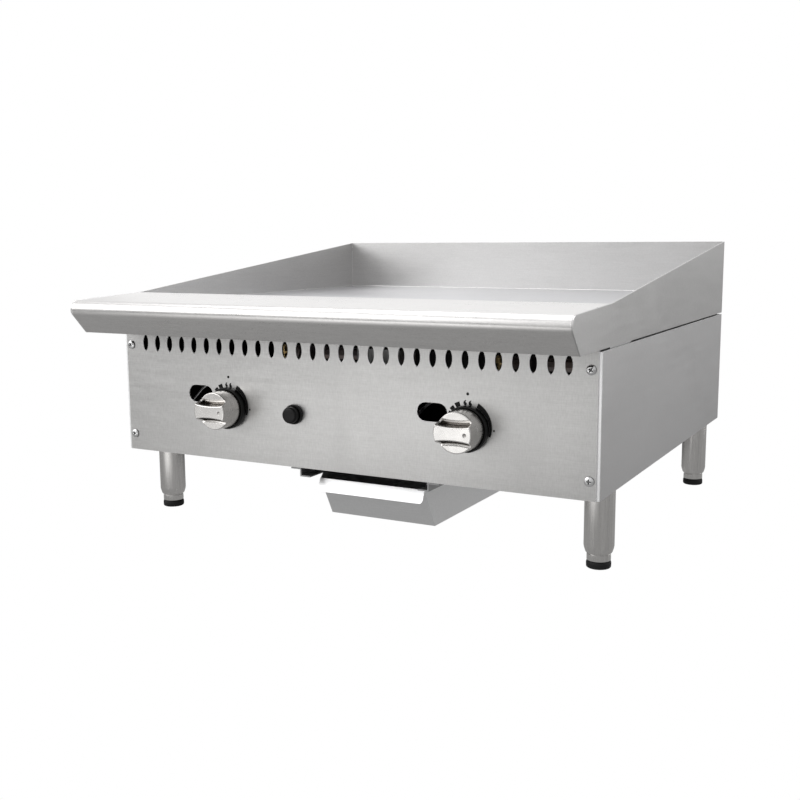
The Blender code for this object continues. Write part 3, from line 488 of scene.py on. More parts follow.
def haze_group():
    """Soft uneven patches left by rolling, wiping and handling."""
    tree, given, out = node_group("wiped_haze", [("Size", "NodeSocketVector", (5, 5, 5))],
                                  [("Haze", "NodeSocketFloat"), ("Speckle", "NodeSocketFloat")])
    place = scaled_place(tree, given.outputs["Size"])
    tree.links.new(spread(tree, cloud(tree, place, 1.0, 4, 0.8), 0.32, 0.68), out.inputs["Haze"])
    tree.links.new(spread(tree, cloud(tree, place, 90.0, 2), 0.25, 0.75), out.inputs["Speckle"])
    return tree


def scratch_group():
    """Thin wandering scratches."""
    tree, given, out = node_group("hair_scratches", [("Run", "NodeSocketVector", (9, 60, 60))],
                                  [("Scratch", "NodeSocketFloat")])
    place = scaled_place(tree, given.outputs["Run"])
    field = maths(tree, "ABSOLUTE", maths(tree, "SUBTRACT", cloud(tree, place, 1.0, 1), 0.5), 0)
    patch = spread(tree, cloud(tree, place, 0.3, 1), 0.5, 0.6)
    line = spread(tree, field, 0.0, 0.004, 1.0, 0.0)
    tree.links.new(maths(tree, "MULTIPLY", line, patch), out.inputs["Scratch"])
    return tree


def edge_group():
    """How close a point is to a worn or polished edge."""
    tree, given, out = node_group("edge_wear", [("Radius", "NodeSocketFloat", 0.0008)],
                                  [("Edge", "NodeSocketFloat")])
    bevel = tree.nodes.new("ShaderNodeBevel")
    bevel.samples = 4
    tree.links.new(given.outputs["Radius"], bevel.inputs["Radius"])
    true = tree.nodes.new("ShaderNodeNewGeometry")
    dot = tree.nodes.new("ShaderNodeVectorMath")
    dot.operation = "DOT_PRODUCT"
    tree.links.new(bevel.outputs[0], dot.inputs[0])
    tree.links.new(true.outputs["Normal"], dot.inputs[1])
    tree.links.new(spread(tree, dot.outputs["Value"], 0.99, 0.85), out.inputs["Edge"])
    return tree


def edge_highlight_group():
    """The bright edge of a flat sheet, bare cut metal with a painted highlight: every face that turns away
    from the sheet's own axis.
    """
    tree, given, out = node_group("cut_edge_painted_highlight", [("Axis", "NodeSocketVector", (0, 1, 0))],
                                  [("Edge", "NodeSocketFloat")])
    true = tree.nodes.new("ShaderNodeNewGeometry")
    dot = tree.nodes.new("ShaderNodeVectorMath")
    dot.operation = "DOT_PRODUCT"
    tree.links.new(true.outputs["True Normal"], dot.inputs[0])
    tree.links.new(given.outputs["Axis"], dot.inputs[1])
    facing = maths(tree, "ABSOLUTE", dot.outputs["Value"], 0)
    tree.links.new(spread(tree, facing, 0.985, 0.93), out.inputs["Edge"])
    return tree


def painted_hollow_shade_group():
    """Painted shade that darkens a deep hollow, found by ambient occlusion."""
    tree, given, out = node_group("hollow_painted_shade", [("Reach", "NodeSocketFloat", 0.006)],
                                  [("Hollow", "NodeSocketFloat")])
    shade = tree.nodes.new("ShaderNodeAmbientOcclusion")
    shade.samples = 8
    tree.links.new(given.outputs["Reach"], shade.inputs["Distance"])
    tree.links.new(spread(tree, shade.outputs["AO"], 0.85, 0.35), out.inputs["Hollow"])
    return tree


def inner_shade_group():
    """The inner faces of the body, marked for painted shade that darkens them to near black."""
    tree, given, out = node_group("inner_painted_shade", [("Middle", "NodeSocketVector", (0, 0, 0)),
                                                 ("Half", "NodeSocketVector", (1, 1, 1))],
                                  [("Inside", "NodeSocketFloat")])
    place = tree.nodes.new("ShaderNodeTexCoord")
    away = tree.nodes.new("ShaderNodeVectorMath")
    away.operation = "SUBTRACT"
    tree.links.new(place.outputs["Object"], away.inputs[0])
    tree.links.new(given.outputs["Middle"], away.inputs[1])
    share = tree.nodes.new("ShaderNodeVectorMath")
    share.operation = "DIVIDE"
    tree.links.new(away.outputs[0], share.inputs[0])
    tree.links.new(given.outputs["Half"], share.inputs[1])
    size = tree.nodes.new("ShaderNodeVectorMath")
    size.operation = "ABSOLUTE"
    tree.links.new(share.outputs[0], size.inputs[0])
    parts = tree.nodes.new("ShaderNodeSeparateXYZ")
    tree.links.new(size.outputs[0], parts.inputs[0])
    wider = maths(tree, "MAXIMUM", parts.outputs[0], parts.outputs[1])
    widest = maths(tree, "MAXIMUM", wider, parts.outputs[2])
    tree.links.new(maths(tree, "LESS_THAN", widest, 1.0), out.inputs["Inside"])
    return tree


GRAIN = grain_group()
HAZE = haze_group()
SCRATCH = scratch_group()
EDGE = edge_group()
INNER_SHADE = inner_shade_group()
EDGE_HIGHLIGHT = edge_highlight_group()
HOLLOW_SHADE = painted_hollow_shade_group()


class Finish:
    """A material under construction: its tree, its shader and the shared effects placed in it."""

    def __init__(self, name, **constants):
        self.material = bpy.data.materials.new(name)
        self.material.use_nodes = True
        self.tree = self.material.node_tree
        self.shader = self.tree.nodes["Principled BSDF"]
        for label, value in constants.items():
            self.shader.inputs[label.replace("_", " ")].default_value = value

    def effect(self, group, label, value, output):
        """An output of a shared effect, which is placed once in each material."""
        for node in self.tree.nodes:
            if node.type == "GROUP" and node.node_tree == group:
                return node.outputs[output]
        node = self.tree.nodes.new("ShaderNodeGroup")
        node.node_tree = group
        node.inputs[label].default_value = value
        return node.outputs[output]

    def feed(self, label, socket):
        self.tree.links.new(socket, self.shader.inputs[label])

    def bump(self, height, strength, distance):
        node = self.tree.nodes.new("ShaderNodeBump")
        node.inputs["Strength"].default_value = strength
        node.inputs["Distance"].default_value = distance
        self.tree.links.new(height, node.inputs["Height"])
        self.feed("Normal", node.outputs[0])


def brushed_steel(name, dark, light, run, rough, haze_size=(4, 4, 4), haze_depth=0.12, scratched=0.0,
                  bump=0.12, cut_axis=None, shaded_inside=None):
    """Stainless sheet: directional grain, wiped haze, hair scratches, a painted highlight on cut edges,
    painted shade on inner faces.
    """
    made = Finish(name, Metallic=1.0)
    tree = made.tree
    streaks = made.effect(GRAIN, "Run", run, "Streaks")
    haze = made.effect(HAZE, "Size", haze_size, "Haze")
    speckle = made.effect(HAZE, "Size", haze_size, "Speckle")
    tone = maths(tree, "ADD", maths(tree, "MULTIPLY", streaks, 0.55),
                 maths(tree, "MULTIPLY", speckle, 0.45))
    colour = blend_colour(tree, tone, dark, light)
    hazed = tuple(channel * (1 - haze_depth) for channel in light)
    colour = blend_colour(tree, maths(tree, "MULTIPLY", haze, 0.35), colour, hazed)
    grain_rough = spread(tree, streaks, 0, 1, rough - 0.05, rough + 0.05)
    roughness = maths(tree, "ADD", grain_rough, maths(tree, "MULTIPLY", haze, 0.06))
    if scratched:
        scratch = made.effect(SCRATCH, "Run", (run[0] * 0.2, run[1] * 0.06, run[2] * 0.06), "Scratch")
        bright = maths(tree, "MULTIPLY", scratch, scratched)
        colour = blend_colour(tree, bright, colour, (0.9, 0.9, 0.9))
    # Painted shade: faces inside the given box are darkened to near black.
    if shaded_inside:
        low, high = shaded_inside
        inside = made.effect(INNER_SHADE, "Middle", (low + high) / 2, "Inside")
        inside.node.inputs["Half"].default_value = (high - low) / 2
        colour = blend_colour(tree, inside, colour, (0.012, 0.011, 0.010))
    # Painted highlight: faces across the sheet are whitened into a bright rim.
    if cut_axis:
        edge = made.effect(EDGE_HIGHLIGHT, "Axis", cut_axis, "Edge")
        colour = blend_colour(tree, edge, colour, (1.0, 1.0, 1.0))
    made.feed("Base Color", colour)
    made.feed("Roughness", roughness)
    made.bump(made.effect(GRAIN, "Run", run, "Height"), bump, 0.0002)
    return made.material


def moulded(name, colour, worn, rough, grain=0.05):
    """Moulded plastic or rubber: fine texture, dull handled patches, paler edges."""
    made = Finish(name, Metallic=0.0, Specular_IOR_Level=0.25)
    tree = made.tree
    haze = made.effect(HAZE, "Size", (30, 30, 30), "Haze")
    speckle = made.effect(HAZE, "Size", (30, 30, 30), "Speckle")
    edge = made.effect(EDGE, "Radius", 0.0006, "Edge")
    made.feed("Base Color", blend_colour(tree, maths(tree, "MULTIPLY", edge, 0.6), colour, worn))
    made.feed("Roughness", maths(tree, "ADD", spread(tree, haze, 0, 1, rough - 0.06, rough + 0.08),
                                 maths(tree, "MULTIPLY", speckle, 0.05)))
    made.bump(speckle, grain, 0.0003)
    return made.material


def machined(name, dark, light, rough, run=(300, 300, 300), hollow_shade_tone=None):
    """Small turned or cast metal parts with brighter worn edges and, where given, painted shade in their
    hollows.
    """
    made = Finish(name, Metallic=1.0)
    tree = made.tree
    streaks = made.effect(GRAIN, "Run", run, "Streaks")
    haze = made.effect(HAZE, "Size", (40, 40, 40), "Haze")
    edge = made.effect(EDGE, "Radius", 0.0007, "Edge")
    colour = blend_colour(tree, maths(tree, "ADD", maths(tree, "MULTIPLY", streaks, 0.4),
                                      maths(tree, "MULTIPLY", haze, 0.5)), dark, light)
    bright = tuple(min(1.0, channel * 1.25) for channel in light)
    colour = blend_colour(tree, maths(tree, "MULTIPLY", edge, 0.4), colour, bright)
    # Painted shade: where given, the colour darkens in hollows that ambient occlusion finds.
    if hollow_shade_tone:
        colour = blend_colour(tree, made.effect(HOLLOW_SHADE, "Reach", 0.007, "Hollow"), colour, hollow_shade_tone)
    made.feed("Base Color", colour)
    made.feed("Roughness", spread(tree, haze, 0, 1, rough - 0.05, rough + 0.07))
    made.bump(made.effect(GRAIN, "Run", run, "Height"), 0.08, 0.0002)
    return made.material


def fired_steel():
    """Burner tube: grey steel gone blue and brown where it is heated."""
    made = Finish("fired_steel", Metallic=1.0)
    tree = made.tree
    haze = made.effect(HAZE, "Size", (14, 14, 14), "Haze")
    speckle = made.effect(HAZE, "Size", (14, 14, 14), "Speckle")
    colour = blend_colour(tree, haze, (0.26, 0.25, 0.25), (0.30, 0.20, 0.14))
    colour = blend_colour(tree, maths(tree, "MULTIPLY", speckle, 0.5), colour, (0.16, 0.18, 0.24))
    made.feed("Base Color", colour)
    made.feed("Roughness", spread(tree, speckle, 0, 1, 0.42, 0.66))
    made.bump(speckle, 0.15, 0.0004)
    return made.material


def black_paint():
    """Painted pipe and rails: slight orange peel, chipped at the edges."""
    made = Finish("black_paint", Metallic=0.0)
    tree = made.tree
    haze = made.effect(HAZE, "Size", (20, 20, 20), "Haze")
    speckle = made.effect(HAZE, "Size", (20, 20, 20), "Speckle")
    edge = made.effect(EDGE, "Radius", 0.001, "Edge")
    chips = maths(tree, "MULTIPLY", edge, spread(tree, haze, 0.55, 0.8))
    made.feed("Base Color", blend_colour(tree, chips, (0.018, 0.018, 0.019), (0.30, 0.29, 0.28)))
    made.feed("Roughness", spread(tree, haze, 0, 1, 0.38, 0.55))
    made.bump(speckle, 0.12, 0.0004)
    return made.material


def inner_space():
    """The space inside the body, just clear of its outer faces and front flanges."""
    left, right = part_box("side_panel_left"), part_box("side_panel_right")
    flange = 0.0048
    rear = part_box("back_panel")[1].y
    low = Vector((left[0].x + SHEET / 2, FACE + flange, left[0].z + SHEET / 2))
    high = Vector((right[1].x - SHEET / 2, rear - SHEET / 2, right[1].z - SHEET / 2))
    return low, high


def trough_front():
    """The outer face of the trough's front wall, which the slots look onto."""
    low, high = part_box("grease_trough")
    lip = 0.006
    return low - Vector((0.01, 0.01, 0.2)), Vector((high.x + 0.01, low.y + SHEET * 0.7, high.z - lip))


def panel_back():
    """The back of the control panel's sheet and its top return."""
    low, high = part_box("control_panel")
    return Vector((low.x, FACE + SHEET * 0.7, low.z - 0.01)), high + Vector((0, 0.01, 0.01))


# Boxes whose faces get painted shade: the body's inside, the trough's front wall behind the slots and the
# back of the control panel.
INSIDE = inner_space()
TROUGH_FRONT = trough_front()
PANEL_BACK = panel_back()

LOOKS = {
    "panel": brushed_steel("satin_stainless_front", (0.50, 0.495, 0.485), (0.70, 0.695, 0.685),
                           (60, 700, 700), 0.34, haze_size=(6, 6, 1.6), haze_depth=0.3,
                           cut_axis=(0, 1, 0), shaded_inside=PANEL_BACK),
    "side": brushed_steel("satin_stainless_side", (0.52, 0.515, 0.515), (0.60, 0.595, 0.595),
                          (700, 60, 700), 0.36, cut_axis=(1, 0, 0), shaded_inside=INSIDE),
    "splash": brushed_steel("satin_stainless_splash", (0.54, 0.535, 0.53), (0.67, 0.665, 0.66),
                            (60, 700, 700), 0.34),
    "guard": brushed_steel("satin_stainless_guard", (0.46, 0.455, 0.45), (0.58, 0.575, 0.57),
                           (700, 60, 700), 0.34),
    "deck": brushed_steel("polished_deck", (0.54, 0.53, 0.52), (0.72, 0.71, 0.70), (50, 800, 800), 0.27,
                          haze_depth=0.16, scratched=0.3),
    "plate": brushed_steel("ground_plate", (0.44, 0.44, 0.45), (0.60, 0.60, 0.615), (30, 500, 500), 0.30,
                           haze_depth=0.10, scratched=0.5, bump=0.2),
    "leg": brushed_steel("brushed_leg", (0.46, 0.45, 0.44), (0.78, 0.765, 0.745), (700, 700, 25), 0.20,
                         haze_size=(20, 20, 8)),
    "drawer": brushed_steel("drawer_stainless", (0.72, 0.72, 0.72), (0.84, 0.84, 0.84), (60, 600, 600),
                            0.38, scratched=0.25),
    "inner": brushed_steel("inner_sheet", (0.30, 0.30, 0.30), (0.42, 0.42, 0.42), (60, 300, 300), 0.42,
                           shaded_inside=INSIDE),
    "trough": brushed_steel("trough_stainless", (0.50, 0.50, 0.50), (0.62, 0.62, 0.62), (60, 600, 600),
                            0.36, shaded_inside=TROUGH_FRONT),
    # Painted light: the left guard is the guard's steel in a lighter colour, for the light on its face.
    "guard_left": brushed_steel("satin_stainless_left_painted_lighter", (0.60, 0.595, 0.59), (0.74, 0.735, 0.73),
                                (700, 60, 700), 0.34),
    # The knob's and the screw's hollow tones are painted shade in their recesses.
    "knob": machined("satin_knob", (0.66, 0.645, 0.625), (0.79, 0.775, 0.755), 0.24,
                     hollow_shade_tone=(0.20, 0.18, 0.16)),
    "screw": machined("bright_screw", (0.62, 0.62, 0.62), (0.80, 0.80, 0.80), 0.14,
                      hollow_shade_tone=(0.03, 0.03, 0.03)),
    "brass": machined("turned_brass", (0.60, 0.42, 0.18), (0.80, 0.60, 0.30), 0.28),
    "aluminium": machined("bare_aluminium", (0.62, 0.62, 0.63), (0.78, 0.78, 0.79), 0.33),
    "spring": machined("spring_wire", (0.42, 0.42, 0.43), (0.60, 0.60, 0.60), 0.25),
    "weld": machined("ground_weld", (0.56, 0.55, 0.55), (0.74, 0.73, 0.72), 0.30, run=(500, 500, 500)),
    "plastic": moulded("black_plastic", (0.003, 0.003, 0.003), (0.015, 0.015, 0.015), 0.30),
    "rubber": moulded("black_rubber", (0.012, 0.012, 0.012), (0.05, 0.05, 0.05), 0.62, grain=0.2),
    "ink": moulded("dial_ink", (0.003, 0.003, 0.003), (0.004, 0.004, 0.004), 0.6),
    "paint": black_paint(),
    "fired": fired_steel(),
}


# ---------------------------------------------------------------- splash guards, deck and plate


def nose_corner():
    """Where the deck's top and its leaning front face would meet without the rounded nose."""
    low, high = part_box("front_deck")
    foot = Vector((low.y + NOSE_FOOT_BACK, low.z))
    centre_y = low.y + NOSE_RADIUS
    top_above = high.z - DECK_SLOPE * (high.y - centre_y)
    centre = Vector((centre_y, top_above - NOSE_RADIUS / math.cos(math.atan(DECK_SLOPE))))
    to_foot = foot - centre
    lean = math.atan2(to_foot.y, to_foot.x) - math.acos(NOSE_RADIUS / to_foot.length)
    out = Vector((math.cos(lean), math.sin(lean)))
    touch = centre + out * NOSE_RADIUS
    run = (foot - touch).normalized()
    fall = Vector((-1, -DECK_SLOPE)).normalized()
    gap = Vector((high.y, high.z)) - touch
    along = (gap.x * fall.y - gap.y * fall.x) / (run.x * fall.y - run.y * fall.x)
    return touch + run * along, foot


def front_deck():
    low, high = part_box("front_deck")
    corner, foot = nose_corner()
    corners = [(foot.x + NOSE_HEM, foot.y, 0), (foot.x, foot.y, SHEET_BEND),
               (corner.x, corner.y, NOSE_RADIUS), (high.y, high.z, SHEET_BEND),
               (high.y, high.z - REAR_FLANGE, 0)]
    path = rounded(corners, ARC_STEPS)
    deck = plain_object("deck_sheet", prism(sheet_outline(path, GUARD_SHEET), "X", low.x, high.x))
    fit_piece(deck, LOOKS["deck"], "casing", "stainless", "front_deck")
    soften(deck, 0.0003)
    for side, x in (("left", low.x), ("right", high.x)):
        bead = [(x, y, z) for y, z in path[1:-1]]
        weld_bead(f"deck_weld_{side}", bead, 0.0006, 0.00038)


def weld_bead(name, route, radius, sink):
    """A ground weld: a thin bead sunk into the joint that it fills."""
    curve = bpy.data.curves.new(name, "CURVE")
    curve.dimensions = "3D"
    curve.bevel_depth = radius
    curve.bevel_resolution = 2
    curve.use_fill_caps = True
    spline = curve.splines.new("POLY")
    spline.points.add(len(route) - 1)
    points = [Vector(point) for point in route]
    for i, point in enumerate(points):
        ahead = points[min(i + 1, len(points) - 1)] - points[max(i - 1, 0)]
        runs_across = abs(ahead.x) >= 1e-9
        inward = Vector((0, 0, -1)) if runs_across else Vector((0, ahead.z, -ahead.y)).normalized()
        spline.points[i].co = (*(point + inward * sink), 1)
    holder = bpy.data.objects.new(name, curve)
    bpy.context.scene.collection.objects.link(holder)
    mesh = bpy.data.meshes.new_from_object(holder)
    bpy.data.objects.remove(holder, do_unlink=True)
    bpy.data.curves.remove(curve)
    mesh.shade_smooth()
    bead = bpy.data.objects.new(name, mesh)
    bpy.context.scene.collection.objects.link(bead)
    return fit_piece(bead, LOOKS["weld"], "casing", "stainless")


def splash_guards():
    corner, foot = nose_corner()
    deck_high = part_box("front_deck")[1]
    for side in SIDES:
        low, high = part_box(f"splash_{side}")
        corners = [(high.y, low.z + 0.02, 0), (high.y, high.z, GUARD_BEND), (deck_high.y, deck_high.z, 0.004),
                   (corner.x, corner.y, NOSE_RADIUS), (foot.x, foot.y, GUARD_BEND), (high.y, low.z, 0)]
        outline = rounded(corners, ARC_STEPS)
        guard = plain_object(f"guard_{side}", prism(outline, "X", low.x, high.x))
        # The left guard takes the lighter copy, painted light.
        look = LOOKS["guard_left" if side == "left" else "guard"]
        fit_piece(guard, look, "casing", "stainless", f"splash_{side}")
        soften(guard, 0.0004)
    back_low, back_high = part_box("splash_back")
    plate_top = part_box("griddle_plate")[1].z
    y = back_low.y - 0.0002
    for side, x in (("left", back_low.x), ("right", back_high.x)):
        weld_bead(f"corner_weld_{side}", [(x, y, plate_top), (x, y, back_high.z - 0.0004)], 0.0009, 0.0)


def plate_welds():
    """Sealing welds where the thick plate meets the three guards."""
    low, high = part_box("griddle_plate")
    for side, x in (("left", low.x), ("right", high.x)):
        weld_bead(f"plate_weld_{side}", [(x, low.y + 0.001, high.z), (x, high.y, high.z)], 0.0011, 0.0004)
    weld_bead("plate_weld_back", [(low.x, high.y, high.z), (high.x, high.y, high.z)], 0.0011, 0.0004)


# ---------------------------------------------------------------- controls


def loft(rings):
    """A closed solid through rings of equally many points."""
    bm = bmesh.new()
    loops = [[bm.verts.new(point) for point in ring] for ring in rings]
    for one, two in zip(loops, loops[1:]):
        for i in range(len(one)):
            j = (i + 1) % len(one)
            bm.faces.new((one[i], one[j], two[j], two[i]))
    bm.faces.new(loops[0][::-1])
    bm.faces.new(loops[-1])
    bmesh.ops.recalc_face_normals(bm, faces=bm.faces)
    return bm


def lip_ring(centre, y, radius, edge, sign):
    """Outline of one lip of the knob: a bulging edge beside the grip and the round rim."""
    x, z = centre
    half = math.sqrt(radius * radius - edge * edge)
    points = []
    for step in range(17):
        offset = half * (2 * step / 16 - 1)
        points.append((x + offset, y, z + sign * (edge - LIP_SAG * (1 - (offset / half) ** 2))))
    tip = math.asin(edge / radius)
    for step in range(1, 28):
        angle = tip + (math.pi - 2 * tip) * step / 28
        points.append((x + radius * math.cos(angle), y, z + sign * radius * math.sin(angle)))
    return points


def grip_ring(centre, y, radius, inset):
    """Outline of the waisted grip bar, drawn in by an inset."""
    x, z = centre
    end = radius - inset

    def half_width(offset):
        return GRIP_WAIST - inset + GRIP_FLARE * (offset / radius) ** 2

    corner = math.asin(half_width(end) / end)
    stretch = end * math.cos(corner)
    points = []
    for start, sign in ((0, 1), (math.pi, -1)):
        for step in range(9):
            angle = start - corner + 2 * corner * step / 8
            points.append((x + end * math.cos(angle), y, z + end * math.sin(angle)))
        for step in range(1, 14):
            offset = sign * stretch * (1 - 2 * step / 14)
            points.append((x + offset, y, z + sign * half_width(offset)))
    return points


def cheek(centre, side, sign, radius, floor, lip, bar_front):
    """The web at the rim that ramps from a lip up to the end of the grip bar."""
    x, z = centre
    inner = radius - WEB_DEPTH
    rings = []
    for step in range(9):
        share = step / 8
        angle = math.radians(36 - 15 * share)
        rise = min(1.0, max(0.0, (share - 0.15) / 0.6))
        front = lip + 0.0005 + (bar_front + 0.0014 - lip) * rise * rise * (3 - 2 * rise)
        ring = []
        for reach, y in ((inner, floor), (inner, front), (radius, front), (radius, floor)):
            ring.append((x + side * reach * math.cos(angle), y, z + sign * reach * math.sin(angle)))
        rings.append(ring)
    return rings


def knob_grip(centre, radius, floor, bar_front):
    """The waisted bar with its rounded edge and the pointer's dimple."""
    end = radius - GRIP_INSET
    rings = [grip_ring(centre, floor + CAST_OVERLAP, end, 0)]
    for back, inset in ((0.0013, 0), (0.0007, 0.0002), (0.0003, 0.0006), (0, 0.0012)):
        rings.append(grip_ring(centre, bar_front + back, end, inset))
    grip = plain_object("tool", loft(rings))
    dimple = [(0, bar_front - 0.001), (0.0024, bar_front - 0.001), (0.0021, bar_front + 0.0005),
              (0.0011, bar_front + 0.0015), (0, bar_front + 0.0018)]
    pit = plain_object("tool", turned(dimple, "Y", (centre[0] + GRIP_DIMPLE_X, 0, centre[1]), 24))
    return boolean(grip, "DIFFERENCE", pit)


def knob_lip(centre, radius, floor, lip, sign):
    """The bevelled half-moon above or below the grip."""
    rings = [lip_ring(centre, floor + CAST_OVERLAP, radius, LIP_EDGE, sign)]
    for back, draw_in, bevel in ((0.0030, 0, 0), (0.0018, 0, 0.0002), (0.0006, 0.0002, 0.0030),
                                 (0, 0.0010, 0.0034)):
        rings.append(lip_ring(centre, lip + back, radius - draw_in, LIP_EDGE + bevel, sign))
    return plain_object("tool", loft(rings))


def knob(side):
    """Die-cast knob: a round body with two bevelled lips, hollows beside a raised waisted grip bar."""
    low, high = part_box(f"knob_{side}")
    centre = ((low.x + high.x) / 2, (low.z + high.z) / 2)
    radius = (high.z - low.z) / 2
    bar_front, rear = low.y, high.y
    lip = bar_front + GRIP_RISE
    floor = lip + SCOOP_DEPTH
    bore_end = rear - STEM_BORE_DEPTH
    body = [(0, bore_end, 0), (STEM_BORE, bore_end, 0), (STEM_BORE, rear, 0), (radius, rear, 0.0014),
            (radius, floor, 0), (0, floor, 0)]
    axis = (centre[0], 0, centre[1])
    casting = plain_object(f"knob_casting_{side}", turned(rounded(body, 6), "Y", axis, 120))
    pieces = [knob_grip(centre, radius, floor, bar_front)]
    for sign in (1, -1):
        pieces.append(knob_lip(centre, radius, floor, lip, sign))
        for end in (1, -1):
            web = cheek(centre, end, sign, radius - 0.0001, floor + CAST_OVERLAP, lip, bar_front)
            pieces.append(plain_object("tool", loft(web)))
    gathered = bmesh.new()
    for piece in (casting, *pieces):
        gathered.from_mesh(piece.data)
    gathered.to_mesh(casting.data)
    gathered.free()
    for piece in pieces:
        bpy.data.objects.remove(piece, do_unlink=True)
    remesh = casting.modifiers.new("cast", "REMESH")
    remesh.mode = "VOXEL"
    remesh.voxel_size = CAST_VOXEL
    relax = casting.modifiers.new("relax", "SMOOTH")
    relax.factor = 0.5
    relax.iterations = 6
    apply_all(casting)
    casting.data.shade_smooth()
    fit_piece(casting, LOOKS["knob"], f"knob_{side}", "satin_chrome", f"knob_{side}")


def bezel(side):
    low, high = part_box(f"knob_bezel_{side}")
    knob_low, knob_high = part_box(f"knob_{side}")
    x, z = (low.x + high.x) / 2, (low.z + high.z) / 2
    outer = (high.z - low.z) / 2
    inner = (knob_high.z - knob_low.z) / 2 + BEZEL_GAP
    floor = high.y - SHEET
    corners = [(STEM_HOLE, high.y, 0), (outer, high.y, 0.0005), (outer, low.y, 0.0011),
               (inner, low.y, 0.0006), (inner, floor, 0.0006), (STEM_HOLE, floor, 0)]
    ring = plain_object(f"knob_skirt_{side}", turned(rounded(corners, 5), "Y", (x, 0, z), 96))
    fit_piece(ring, LOOKS["plastic"], "casing", "black_plastic", f"knob_bezel_{side}")


def ring_part(x, z, start, end, inner, outer, inner_end=None, outer_end=None, steps=20):
    """A piece of a ring between two angles in degrees, which may taper."""
    inner_end = inner if inner_end is None else inner_end
    outer_end = outer if outer_end is None else outer_end
    rim, core = [], []
    for step in range(steps + 1):
        share = step / steps
        angle = math.radians(start + (end - start) * share)
        for points, first, last in ((rim, outer, outer_end), (core, inner, inner_end)):
            reach = first + (last - first) * share
            points.append((x + reach * math.cos(angle), z + reach * math.sin(angle)))
    return rim + core[::-1]


def flame(x, z, size):
    """A small flame: a round drop with a tail that curls over to the right."""
    spine = [(0.10, -0.30, 0.27), (-0.06, -0.14, 0.28), (-0.12, 0.06, 0.21), (-0.04, 0.27, 0.13),
             (0.16, 0.46, 0.03)]
    left, right = [], []
    for i, (a, b, half) in enumerate(spine):
        ahead, behind = spine[min(i + 1, len(spine) - 1)], spine[max(i - 1, 0)]
        run = Vector((ahead[0] - behind[0], ahead[1] - behind[1])).normalized()
        left.append((x + size * (a - run.y * half), z + size * (b + run.x * half)))
        right.append((x + size * (a + run.y * half), z + size * (b - run.x * half)))
    base = []
    for turn in (0.9, 0.1, -0.7):
        base.append((x + size * (0.13 + 0.17 * math.sin(turn)), z + size * (-0.33 - 0.17 * math.cos(turn))))
    return left[::-1] + base[::-1] + right


def dial(side):
    """Printed marks round the knob: a pointer dot, two flames, a closing band, a tick and three steps."""
    low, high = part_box(f"knob_bezel_{side}")
    x, z = (low.x + high.x) / 2, (low.z + high.z) / 2
    dot = []
    for step in range(24):
        angle = step * math.pi / 12
        dot.append((x + DOT_RADIUS * math.cos(angle), z + DOT_HEIGHT + DOT_RADIUS * math.sin(angle)))
    marks = {
        "dot": dot,
        "flame_a": flame(x - 0.0034, z + 0.0322, 0.0070),
        "flame_b": flame(x + 0.0036, z + 0.0318, 0.0072),
        "band": ring_part(x, z, 66, -16, 0.0291, 0.0352, 0.0291, 0.0318, 32),
        "tick": ring_part(x, z, 1.5, -2.5, 0.0340, 0.0362, steps=3),
        "step_a": ring_part(x, z, 109, 121, 0.0292, 0.0350, steps=5),
        "step_b": ring_part(x, z, 125, 136, 0.0294, 0.0342, steps=5),
        "step_c": ring_part(x, z, 140, 149, 0.0297, 0.0328, 0.0304, 0.0314, 4),
    }
    for label, outline in marks.items():
        print_film = prism(outline, "Y", FACE - PRINT_FACE, FACE - PRINT_BACK)
        mark = plain_object(f"dial_{label}_{side}", print_film)
        fit_piece(mark, LOOKS["ink"], "casing", "black_plastic")


def igniter():
    low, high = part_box("igniter_button")
    x, z = (low.x + high.x) / 2, (low.z + high.z) / 2
    radius = (high.z - low.z) / 2
    corners = [(0, high.y, 0), (radius, high.y, 0.0004), (radius, low.y + 0.0006, 0.0032),
               (0.0055, low.y, 0.003), (0, low.y, 0)]
    cap = plain_object("igniter_cap", turned(rounded(corners, 8), "Y", (x, 0, z), 72), 60)
    fit_piece(cap, LOOKS["plastic"], "button", "black_plastic", "igniter_button")
    body_low, body_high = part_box("igniter_body")
    bore = radius + FIT
    barrel = bore + BARREL_WALL
    rim = FACE - FIT
    well = FACE + BUTTON_WELL
    corners = [(0, body_high.y, 0), (TERMINAL_RADIUS, body_high.y, 0.0004),
               (TERMINAL_RADIUS, FACE + TERMINAL_FOOT, 0), (NECK_RADIUS, FACE + NECK_END, 0.001),
               (NECK_RADIUS, FACE + NECK_START, 0), (barrel, FACE + BARREL_END, 0.001), (barrel, rim, 0),
               (COLLAR_RADIUS, rim, 0.0004), (COLLAR_RADIUS, body_low.y, 0.0016),
               (bore, body_low.y, 0.0006), (bore, well, 0), (0, well, 0)]
    housing = plain_object("igniter_housing", turned(rounded(corners, 5), "Y", (x, 0, z), 72))
    fit_piece(housing, LOOKS["plastic"], "casing", "black_plastic", "igniter_body")


